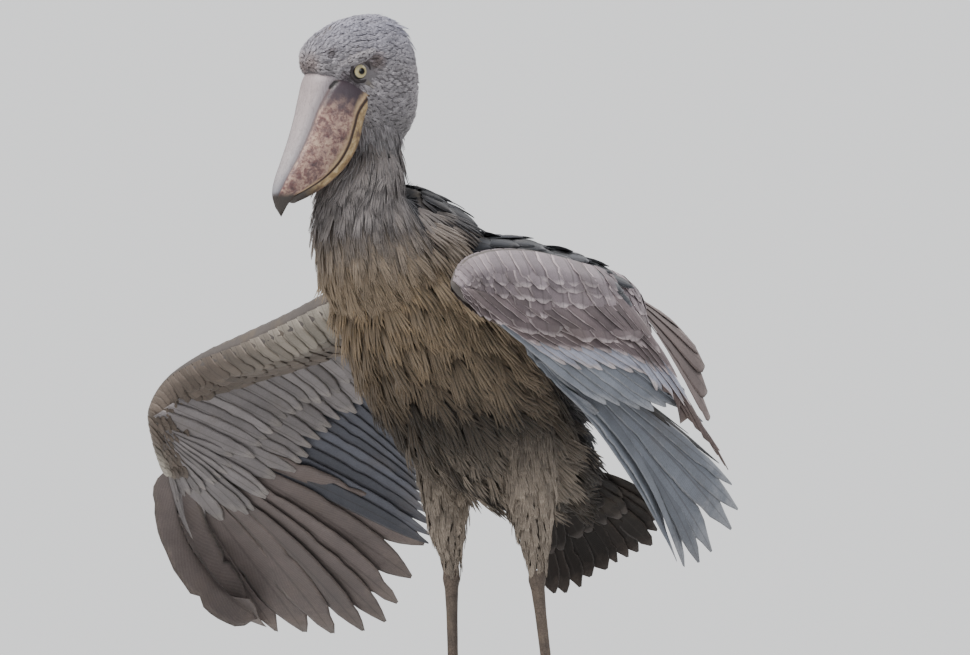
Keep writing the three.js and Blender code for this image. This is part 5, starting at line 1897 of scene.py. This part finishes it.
@dataclass(frozen=True)
class HornFinish:
    """Finish of one half of the bill, blotched, with a pale ridge, a warm rim and a dark tip, painted shade
    along the mouth line and, on the upper half, painted shade in the groove and the nostrils.
    """

    name: Finish
    upper: bool
    tip: Colour = (0.055, 0.045, 0.04)
    # Painted shade along the mouth line, where the two halves meet.
    mouth_shade: Colour = (0.07, 0.04, 0.03)
    bump: float = 0.35
    bump_depth: float = 0.0012
    ridge_stops: tuple[tuple[float, Colour], ...] = (
        (0.0, (0.33, 0.27, 0.28)), (0.25, (0.47, 0.40, 0.40)), (0.62, (0.46, 0.42, 0.43)),
        (0.82, (0.30, 0.30, 0.33)), (0.93, (0.07, 0.06, 0.06)), (1.0, (0.06, 0.035, 0.02)),
    )
    side_stops: tuple[tuple[float, Colour], ...] = (
        (0.32, (0.07, 0.038, 0.042)), (0.44, (0.20, 0.12, 0.11)), (0.54, (0.40, 0.255, 0.205)),
        (0.68, (0.54, 0.385, 0.29)),
    )
    lower_stops: tuple[tuple[float, Colour], ...] = (
        (0.34, (0.20, 0.13, 0.085)), (0.48, (0.44, 0.30, 0.15)), (0.62, (0.66, 0.50, 0.29)),
    )

    def build(self, groups: SharedGroups) -> bpy.types.Material:
        """Makes the material from the marks along, across and up the bill.

        Args:
            groups: Shared node groups; not used.

        Returns:
            The material.
        """
        material, graph, shader = new_material(self.name)
        place = graph.place()
        along, off, high = graph.parts(graph.attribute("horn"))
        blotch = graph.noise(place, 75, 5, 0.68, 0.4)
        patches = graph.noise(place, 26, 4, 0.6, 0.6)
        fine = graph.noise(place, 420, 4, 0.7)
        stretched = graph.node("ShaderNodeMapping")
        graph.put(stretched.inputs["Vector"], place)
        stretched.inputs["Scale"].default_value = (1.0, 1.0, 0.12)
        streak = graph.noise(stretched.outputs["Vector"], 160, 4, 0.6)
        if self.upper:
            ridge = graph.ramp(along, self.ridge_stops)
            # The ridge turns greyer towards the groove: partly its own tone, partly painted shade on its
            # flanks.
            ridge = graph.mix(graph.band(off, 0.2, 0.5), ridge, graph.mix(0.55, ridge, (0.20, 0.185, 0.21)))
            cracks = graph.band(graph.math("ABSOLUTE", graph.math("SUBTRACT", streak, 0.5)), 0.03, 0.0)
            ridge = graph.mix(graph.math("MULTIPLY", cracks, 0.45), ridge, (0.16, 0.12, 0.13))
            side = graph.ramp(blotch, self.side_stops)
            dots = graph.band(graph.noise(place, 230, 2, 0.5, 0.2), 0.5, 0.62)
            side = graph.mix(graph.math("MULTIPLY", dots, 0.6), side, (0.13, 0.05, 0.05))
            side = graph.mix(graph.band(graph.sum_of(along, patches, 0.3), 0.5, 0.3), side,
                             (0.05, 0.034, 0.044))
            rim = graph.mix(graph.band(blotch, 0.4, 0.6), (0.60, 0.44, 0.25), (0.46, 0.31, 0.19))
            side = graph.mix(graph.band(graph.sum_of(high, patches, 0.25), 0.16, 0.34), rim, side)
            base = graph.mix(graph.band(off, 0.53, 0.6), ridge, side)
            # A thin dark line of painted shade down the groove.
            line = graph.math("MULTIPLY", graph.band(off, 0.50, 0.56), graph.band(off, 0.62, 0.56))
            base = graph.mix(graph.math("MULTIPLY", line, 0.75), base, (0.10, 0.06, 0.06))
            base = graph.mix(graph.band(graph.sum_of(along, patches, 0.08), 0.84, 0.93), base, self.tip)
            # The nostril pits are painted near black: painted shade inside the openings.
            base = graph.mix(graph.band(high, 1.6, 5.0), base, (0.02, 0.015, 0.015))
            # Painted shade along the mouth line under the upper half.
            base = graph.mix(graph.band(high, 0.085, 0.03), base, self.mouth_shade)
        else:
            side = graph.ramp(blotch, self.lower_stops)
            under = graph.mix(graph.band(patches, 0.4, 0.6), (0.34, 0.23, 0.14), (0.28, 0.18, 0.15))
            base = graph.mix(graph.band(high, 0.45, 0.9), side, under)
            # Painted shade along the mouth line over the lower half.
            base = graph.mix(graph.band(high, 0.14, 0.05), base, self.mouth_shade)
            base = graph.mix(graph.band(along, 0.72, 0.93), base, self.tip)
        grain = graph.math("ADD", fine, streak)
        graph.put(shader.inputs["Base Color"], graph.scaled(base, graph.sum_of(0.8, grain, 0.2)))
        graph.put(shader.inputs["Roughness"], graph.band(blotch, 0.3, 0.7, (0.34, 0.55)))
        height = graph.math("ADD", grain, blotch)
        graph.put(shader.inputs["Normal"], graph.bump(self.bump, self.bump_depth, height))
        return material


@dataclass(frozen=True)
class EyeFinish:
    """Finish of the eye, with a dark pupil, a pale iris with fine spokes and a dark ring."""

    name: Finish = Finish.EYE
    reach: float = 14.5         # millimetres from the eye's axis to the end of the stops
    spokes: float = 38.0
    spoke_strength: float = 0.012
    stops: tuple[tuple[float, Colour], ...] = (
        (0.0, (0.006, 0.006, 0.007)), (0.29, (0.006, 0.006, 0.007)), (0.32, (0.22, 0.17, 0.07)),
        (0.43, (0.50, 0.43, 0.24)), (0.62, (0.56, 0.50, 0.30)), (0.67, (0.26, 0.2, 0.1)),
        (0.70, (0.012, 0.01, 0.01)), (1.0, (0.012, 0.01, 0.01)),
    )
    roughness: float = 0.12
    coat: float = 0.45
    coat_roughness: float = 0.03
    gloss: float = 0.2

    def build(self, groups: SharedGroups) -> bpy.types.Material:
        """Makes the material from the distance to the eye's own axis.

        Args:
            groups: Shared node groups, which the eye doesn't need.

        Returns:
            The material.
        """
        material, graph, shader = new_material(self.name)
        away, round_, _ = graph.parts(graph.attribute("gaze"))
        wave = graph.math("SINE", graph.math("MULTIPLY", round_, self.spokes))
        iris = graph.ramp(graph.sum_of(graph.math("DIVIDE", away, self.reach), wave, self.spoke_strength),
                          self.stops)
        for label, value in (("Base Color", iris), ("Roughness", self.roughness), ("Coat Weight", self.coat),
                             ("Specular IOR Level", self.gloss), ("Coat Roughness", self.coat_roughness)):
            graph.put(shader.inputs[label], value)
        return material


@dataclass(frozen=True)
class SkinFinish:
    """Finish of bare skin, scales, claws and the floor from two tones and a cell pattern."""

    name: Finish
    dark: Colour
    pale: Colour
    cells: float
    cell_depth: float
    roughness: float
    mud: float = 0.0
    mud_scale: float = 22.0
    groove: float = 0.6
    groove_shade: float = 0.4
    bump: float = 0.6

    def build(self, groups: SharedGroups) -> bpy.types.Material:
        """Makes the material.

        Args:
            groups: Shared node groups.

        Returns:
            The material.
        """
        material, graph, shader = new_material(self.name)
        place = graph.place()
        cells = graph.node("ShaderNodeTexVoronoi", feature="DISTANCE_TO_EDGE")
        graph.put(cells.inputs["Vector"], place)
        cells.inputs["Scale"].default_value = self.cells
        groove = graph.band(cells.outputs["Distance"], 0.0, 0.12)
        patch = graph.noise(place, 30, 5, 0.6)
        tone = graph.mix(graph.band(patch, 0.35, 0.65), self.dark, self.pale)
        tone = graph.mix(graph.math("MULTIPLY", graph.math("SUBTRACT", 1.0, groove), self.groove), tone,
                         tuple(self.groove_shade * value for value in self.dark))
        mud = graph.group(groups.mud, Colour=tone, Amount=self.mud, Scale=self.mud_scale)
        worn = graph.band(patch, 0.3, 0.7, (self.roughness - 0.1, self.roughness + 0.1))
        for label, value in (("Base Color", mud.outputs["Colour"]), ("Roughness", worn),
                             ("Normal", graph.bump(self.bump, self.cell_depth, groove))):
            graph.put(shader.inputs[label], value)
        return material


@dataclass(frozen=True)
class Limb:
    """A leg, foot or claw drawn smooth from its solid."""

    node: str
    voxel: float
    rounds: int

    def build(self, source: bpy.types.Object, finish: bpy.types.Material) -> bpy.types.Object:
        """Copies the solid, merges its corners and rounds it.

        Args:
            source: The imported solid.
            finish: Material of the piece.

        Returns:
            The object.
        """
        mesh = source.data.copy()
        work = bmesh.new()
        work.from_mesh(mesh)
        bmesh.ops.remove_doubles(work, verts=work.verts, dist=0.00001)
        work.to_mesh(mesh)
        work.free()
        mesh.materials.clear()
        rough = linked(f"{self.node}_rough", mesh)
        return even_surface(rough, f"{self.node}_form", self.voxel, self.rounds, finish)


@dataclass(frozen=True)
class Studio:
    """The plain floor, soft lights and the camera of the photograph's view."""

    azimuth: float = 40.0
    width: float = 1.4265
    distance: float = 25.0
    across: float = -0.0147
    height: float = 0.6086
    sky_light: float = 0.36
    sky_seen: float = 1.25
    sensor: float = 36.0
    aim: tuple[float, float, float] = (-0.15, 0.0, 0.6)
    floor_radius: float = 3.0
    floor_sides: int = 96

    def camera(self) -> bpy.types.Object:
        """Makes the level camera at the photograph's angle.

        Returns:
            The camera.
        """
        turn = math.radians(self.azimuth)
        right = np.array([math.cos(turn), math.sin(turn), 0.0])
        target = right * self.across + np.array([0.0, 0.0, self.height]) + FEET_FROM_BODY
        place = target + np.array([math.sin(turn), -math.cos(turn), 0.0]) * self.distance
        data = bpy.data.cameras.new("photograph_view")
        data.sensor_width = self.sensor
        data.lens = self.sensor * self.distance / self.width
        data.clip_end = 4 * self.distance
        made = linked("photograph_view", data)
        made.location = place
        made.rotation_euler = (math.pi / 2, 0.0, turn)
        bpy.context.scene.camera = made
        return made

    def light(self, name: str, place: tuple[float, float, float], size: float, power: float,
              colour: Colour) -> None:
        """Adds one soft light that faces the bird.

        Args:
            name: Its name.
            place: Where it stands.
            size: Its side in metres.
            power: Its power in watts.
            colour: Its colour.
        """
        data = bpy.data.lights.new(name, "AREA")
        data.size = size
        data.energy = power
        data.color = colour
        made = linked(name, data)
        made.location = place
        aim = Vector(self.aim) - Vector(place)
        made.rotation_euler = aim.to_track_quat("-Z", "Y").to_euler()

    def build(self, finish: bpy.types.Material) -> bpy.types.Object:
        """Sets floor, lights, sky and camera.

        Args:
            finish: Material of the floor.

        Returns:
            The floor.
        """
        turns = [2 * math.pi * side / self.floor_sides for side in range(self.floor_sides)]
        rim = np.array([[self.floor_radius * math.cos(turn), self.floor_radius * math.sin(turn), 0.0]
                        for turn in turns])
        floor = new_object("studio_floor", rim, [tuple(range(self.floor_sides))])
        floor.data.materials.append(finish)
        world = bpy.data.worlds.new("pale_studio")
        world.use_nodes = True
        graph = Graph(world.node_tree)
        lit = world.node_tree.nodes["Background"]
        lit.inputs["Color"].default_value = (0.90, 0.93, 0.97, 1.0)
        lit.inputs["Strength"].default_value = self.sky_light
        seen = graph.node("ShaderNodeBackground")
        seen.inputs["Color"].default_value = (0.93, 0.94, 0.95, 1.0)
        seen.inputs["Strength"].default_value = self.sky_seen
        chosen = graph.node("ShaderNodeMixShader")
        graph.put(chosen.inputs[0], graph.node("ShaderNodeLightPath").outputs["Is Camera Ray"])
        graph.put(chosen.inputs[1], lit.outputs[0])
        graph.put(chosen.inputs[2], seen.outputs[0])
        graph.put(world.node_tree.nodes["World Output"].inputs["Surface"], chosen.outputs[0])
        bpy.context.scene.world = world
        self.light("key", (-0.6, -2.2, 3.7), 1.7, 190.0, (1.0, 0.98, 0.95))
        self.light("fill", (3.4, -1.6, 2.2), 2.4, 45.0, (0.93, 0.96, 1.0))
        self.light("back", (0.6, 2.4, 3.4), 2.0, 90.0, (1.0, 0.99, 0.97))
        self.camera()
        return floor


class Shoebill:
    """The whole bird, with its flesh, coat, wings, tail, bill, eyes and legs."""

    def __init__(self, nodes: dict[str, bpy.types.Object]) -> None:
        """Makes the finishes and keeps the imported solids.

        Args:
            nodes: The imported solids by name.
        """
        self.nodes = nodes
        groups = SharedGroups()
        self.looks = {look.name: look.build(groups) for look in (
            FeatherFinish(Finish.SKIN, fringe=0.0, mottle=0.7, mud=0.5),
            FeatherFinish(Finish.BODY, fringe=0.42, barbs=0.25, mottle=0.8, mud=0.14),
            FeatherFinish(Finish.SLATE, fringe=0.16, mottle=0.5, mud=0.12),
            FeatherFinish(Finish.COVERT, fringe=0.2, mottle=0.8, mud=0.12, roughness=0.66),
            HornFinish(Finish.HORN, True), HornFinish(Finish.LOWER_HORN, False), EyeFinish(),
            SkinFinish(Finish.LID, (0.03, 0.022, 0.025), (0.07, 0.052, 0.056), 900.0, 0.0004, 0.5),
            SkinFinish(Finish.LEG, (0.085, 0.062, 0.05), (0.16, 0.12, 0.095), 240.0, 0.0008, 0.55, 0.5),
            SkinFinish(Finish.CLAW, (0.03, 0.027, 0.026), (0.08, 0.065, 0.055), 700.0, 0.0002, 0.4, 0.3),
            SkinFinish(Finish.FLOOR, (0.62, 0.62, 0.61), (0.66, 0.66, 0.65), 60.0, 0.0001, 0.7, groove=0.0),
        )}

    def place(self, piece: bpy.types.Object, slot: str, *nodes: str) -> None:
        """Gives a piece to the root body and hides the solids it stands for.

        Args:
            piece: The finished object.
            slot: Name of a slot; not used.
            nodes: Solids that it replaces.
        """
        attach(piece, "root")
        if nodes:
            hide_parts(*nodes)
        LOG.info("%s: %d faces", piece.name, len(piece.data.polygons))

    def body(self) -> None:
        """Builds the skin and the coat over it."""
        skin = Flesh().build(self.looks[Finish.SKIN])
        self.place(skin, "body_plumage", "torso", "neck", "head", "left_thigh", "right_thigh")
        scatter = FeatherScatter()
        coat = Coat()
        for plumage, shape, finish, slot, ruffle in (
            (coat.neck(), LANCE, Finish.BODY, "body_plumage", 0.1),
            (coat.breast(), SCRUFF, Finish.BODY, "body_plumage", 0.22),
            (coat.mantle(), ROUND, Finish.SLATE, "body_plumage", 0.07),
            (coat.shoulder(), ROUND, Finish.SLATE, "body_plumage", 0.08),
            (coat.head(), SHORT, Finish.BODY, "head_plumage", 0.12),
            (coat.crest(), LANCE, Finish.BODY, "head_plumage", 0.15),
            (coat.brow(1), SHORT, Finish.BODY, "head_plumage", 0.1),
            (coat.brow(-1), SHORT, Finish.BODY, "head_plumage", 0.1),
            (coat.thigh("left"), LANCE, Finish.BODY, "leg_plumage", 0.1),
            (coat.thigh("right"), LANCE, Finish.BODY, "leg_plumage", 0.1),
        ):
            feather = shape.build()
            made = scatter.grow(plumage, feather, self.looks[finish], ruffle)
            bpy.data.objects.remove(feather)
            self.place(made, slot)

    @staticmethod
    def fan_rows(dorsal: tuple[float, float, float], rows: VaneRows, fan: Fan,
                 cuts: tuple[tuple[VaneCut, Dress], ...]) -> None:
        """Adds a fan's flights and coverts to a mesh of long feathers.

        Args:
            dorsal: Rough way out of its upper side.
            rows: The mesh.
            fan: The fan.
            cuts: Shape and colours of each row.
        """
        for cut, dress in cuts:
            rows.row(partial(fan.surface, dorsal), cut, dress)

    @staticmethod
    def arm_rows(form: WingForm, rows: VaneRows, side: int, chords: tuple[float, ...], count: int,
                 reach: float, dress: Callable[[float, float], Tones]) -> None:
        """Adds rows of small coverts over the arm, from its rear edge to its front.

        Args:
            form: The wing.
            rows: The mesh.
            side: 1 for the upper side and -1 for the under side.
            chords: Where each row's roots are between the front edge and the rear one.
            count: Feathers of the first row, with two more in each row after it.
            reach: Their length as a share of the chord.
            dress: Gives the colour and rim colour at a share along the arm and of the chord.
        """
        start, end = ARM_SPAN
        for index, chord in enumerate(chords):
            def surface(share: float, part: float, chord: float = chord) -> tuple[np.ndarray, np.ndarray]:
                """Gives a place over the arm and its upper way."""
                return form.arm_surface(start + (end - start) * share, chord + reach * part, side)
            cut = VaneCut(count + 2 * index, 0.0, 1.0, COVERT_OUTLINE, (0.6, 3.0, 5.5, 6.5), rows=7,
                          columns=3, side=side, step=1.6, thickness=0.7, limit=70.0)
            rows.row(surface, cut, lambda share, chord=chord: dress(share, chord))

    def right_wing(self) -> None:
        """Builds the right wing, whose under side the photograph shows."""
        slate = two_tones((0.105, 0.11, 0.135), (0.14, 0.14, 0.16))
        dusk = two_tones((0.165, 0.135, 0.13), (0.22, 0.18, 0.165))
        under = two_tones((0.24, 0.22, 0.225), (0.32, 0.29, 0.28))
        upper = two_tones((0.15, 0.12, 0.115), (0.30, 0.26, 0.24))
        inner, outer = RIGHT_WING.fans
        arm = VaneRows("right_wing_feathers")
        self.fan_rows(RIGHT_WING.dorsal, arm, inner, (
            (flights(inner.count, 22, limit=95.0), lambda s: slate),
            (coverts(15, -0.04, 0.44, LOW_COVERTS, rows=10, side=-1), lambda s: under),
            (coverts(17, -0.12, 0.27, RIGHT_MEDIANS, side=-1), lambda s: under),
            (coverts(15, -0.04, 0.44, LOW_COVERTS), lambda s: upper),
            (coverts(17, -0.12, 0.27, RIGHT_MEDIANS, rows=8), lambda s: upper),
        ))

        def lining_and_painted_light(share: float, chord: float) -> Tones:
            """Gives the underwing coverts their colours: a pale front edge near the shoulder and the far end
            of the arm, which is painted light, and a brown middle, their own tone with painted shade.
            """
            # pale is painted light on the lit front edge; brown holds painted shade.
            pale = np.array((0.46, 0.42, 0.36))
            brown = np.array((0.135, 0.108, 0.09))
            # The painted light of the front edge lies near the shoulder and near the far end of the arm.
            shoulder = max(0.0, 1 - share / 0.45) + max(0.0, (share - 0.86) / 0.14)
            colour = blend(brown, pale, shoulder * max(0.0, 1 - chord / 0.30))
            return colour, colour * 1.15 + 0.01
        self.arm_rows(RIGHT_WING, arm, -1, (0.78, 0.6, 0.42, 0.26, 0.12, 0.0), 26, 0.36, lining_and_painted_light)
        self.arm_rows(RIGHT_WING, arm, 1, (0.78, 0.55, 0.32, 0.1), 24, 0.42, lambda share, chord: upper)
        self.place(arm.build(self.looks[Finish.COVERT]), "wing_feathers", "right_wing")
        hand = VaneRows("right_wing_tip_feathers")
        self.fan_rows(RIGHT_WING.dorsal, hand, outer, (
            (flights(outer.count, 24, -2.4, ragged=0.06, limit=80.0), lambda s: dusk),
            (coverts(10, -0.04, 0.38, LOW_COVERTS, side=-1), lambda s: under),
            (coverts(12, -0.1, 0.22, (6.5, 9.0, 9.5, 9.0), rows=8, side=-1), lambda s: under),
            (coverts(10, -0.04, 0.38, LOW_COVERTS), lambda s: upper),
        ))
        self.place(hand.build(self.looks[Finish.COVERT]), "wing_feathers", "right_hand")

    def left_wing(self) -> None:
        """Builds the left wing, whose upper side the photograph shows."""
        mauve = two_tones((0.16, 0.124, 0.13), (0.50, 0.42, 0.43))
        pink = two_tones((0.27, 0.225, 0.245), (0.60, 0.51, 0.53))
        blue = two_tones((0.42, 0.43, 0.52), (0.62, 0.55, 0.56))
        slate = two_tones((0.19, 0.205, 0.24), (0.30, 0.31, 0.34))
        brown = two_tones((0.14, 0.105, 0.10), (0.22, 0.17, 0.16))
        black = two_tones((0.028, 0.027, 0.03), (0.05, 0.05, 0.055))
        humeral, inner, outer = LEFT_WING.fans
        arm = VaneRows("left_wing_feathers")
        self.fan_rows(LEFT_WING.dorsal, arm, humeral,
                      ((flights(humeral.count + 1, 18, 3.1), lambda s: brown),))
        self.fan_rows(LEFT_WING.dorsal, arm, inner, (
            (flights(inner.count, 20, limit=62.0), lambda s: slate if s > 0.25 else brown),
            (coverts(14, -0.04, 0.58, LOW_COVERTS, rows=10, columns=4), lambda s: blue),
            (coverts(13, -0.12, 0.38, (6.5, 10.0, 11.0, 10.5)), lambda s: mauve),
            (coverts(13, -0.18, 0.22, (9.0, 13.0, 14.5, 14.0)), lambda s: mauve),
            (coverts(14, -0.04, 0.4, LOW_COVERTS, rows=8, side=-1), lambda s: brown),
        ))
        self.arm_rows(LEFT_WING, arm, 1, (0.72, 0.5, 0.3, 0.12, 0.0), 13, 0.52,
                      lambda share, chord: (blend(pink[0], mauve[0], chord * 1.5),
                                            blend(pink[1], mauve[1], chord * 1.5)))
        self.arm_rows(LEFT_WING, arm, -1, (0.7, 0.4, 0.1), 18, 0.46, lambda share, chord: brown)
        self.place(arm.build(self.looks[Finish.COVERT]), "wing_feathers", "left_wing")
        hand = VaneRows("left_wing_tip_feathers")
        self.fan_rows(LEFT_WING.dorsal, hand, outer, (
            (flights(outer.count, 22, -2.4, ragged=0.07, limit=48.0), lambda s: slate if s > 0.15 else black),
            (coverts(10, -0.04, 0.38, LOW_COVERTS, side=-1), lambda s: slate),
        ))
        self.place(hand.build(self.looks[Finish.COVERT]), "wing_feathers", "left_hand")

    def tail(self) -> None:
        """Builds the tail's feathers and the rows over its base."""
        dark = two_tones((0.022, 0.017, 0.015), (0.06, 0.046, 0.04))
        rows = VaneRows("tail_plumes")
        cuts = [flights(TAIL_FAN.count, 18, ragged=0.08)]
        for side in (1, -1):
            cuts.append(coverts(8, 0.12, 0.66, (4.5, 6.0, 6.5, 5.5), side=side))
            cuts.append(coverts(7, -0.05, 0.42, (9.0, 11.0, 11.0, 10.0), side=side))
        self.fan_rows(TAIL_DORSAL, rows, TAIL_FAN, tuple((cut, lambda s: dark) for cut in cuts))
        self.place(rows.build(self.looks[Finish.COVERT]), "tail_feathers", "tail")

    def face(self) -> None:
        """Builds the bill, eyes and lids."""
        bill, eye = BillForm(), EyeForm()
        self.place(bill.upper(self.looks[Finish.HORN]), "upper_bill", "upper_bill")
        self.place(bill.lower(self.looks[Finish.LOWER_HORN]), "lower_bill", "lower_bill")
        for side, name in ((1, "left_eye"), (-1, "right_eye")):
            self.place(eye.ball(side, self.looks[Finish.EYE]), "eye", name)
            self.place(eye.lid(side, self.looks[Finish.LID]), "head_plumage")

    def legs(self) -> None:
        """Builds the shanks, feet and claws from their solids."""
        for name, source in sorted(self.nodes.items()):
            if "claw" in name:
                self.place(Limb(name, 0.0007, 3).build(source, self.looks[Finish.CLAW]), "claw", name)
            elif "shank" in name or "foot" in name:
                self.place(Limb(name, 0.0016, 8).build(source, self.looks[Finish.LEG]), "leg_skin", name)


def main() -> None:
    """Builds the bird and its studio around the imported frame."""
    logging.basicConfig(level=logging.INFO, format="%(message)s")
    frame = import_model()
    bird = Shoebill(frame["nodes"])
    Studio().build(bird.looks[Finish.FLOOR])
    bird.body()
    bird.right_wing()
    bird.left_wing()
    bird.tail()
    bird.face()
    bird.legs()


if __name__ == "__main__":
    main()
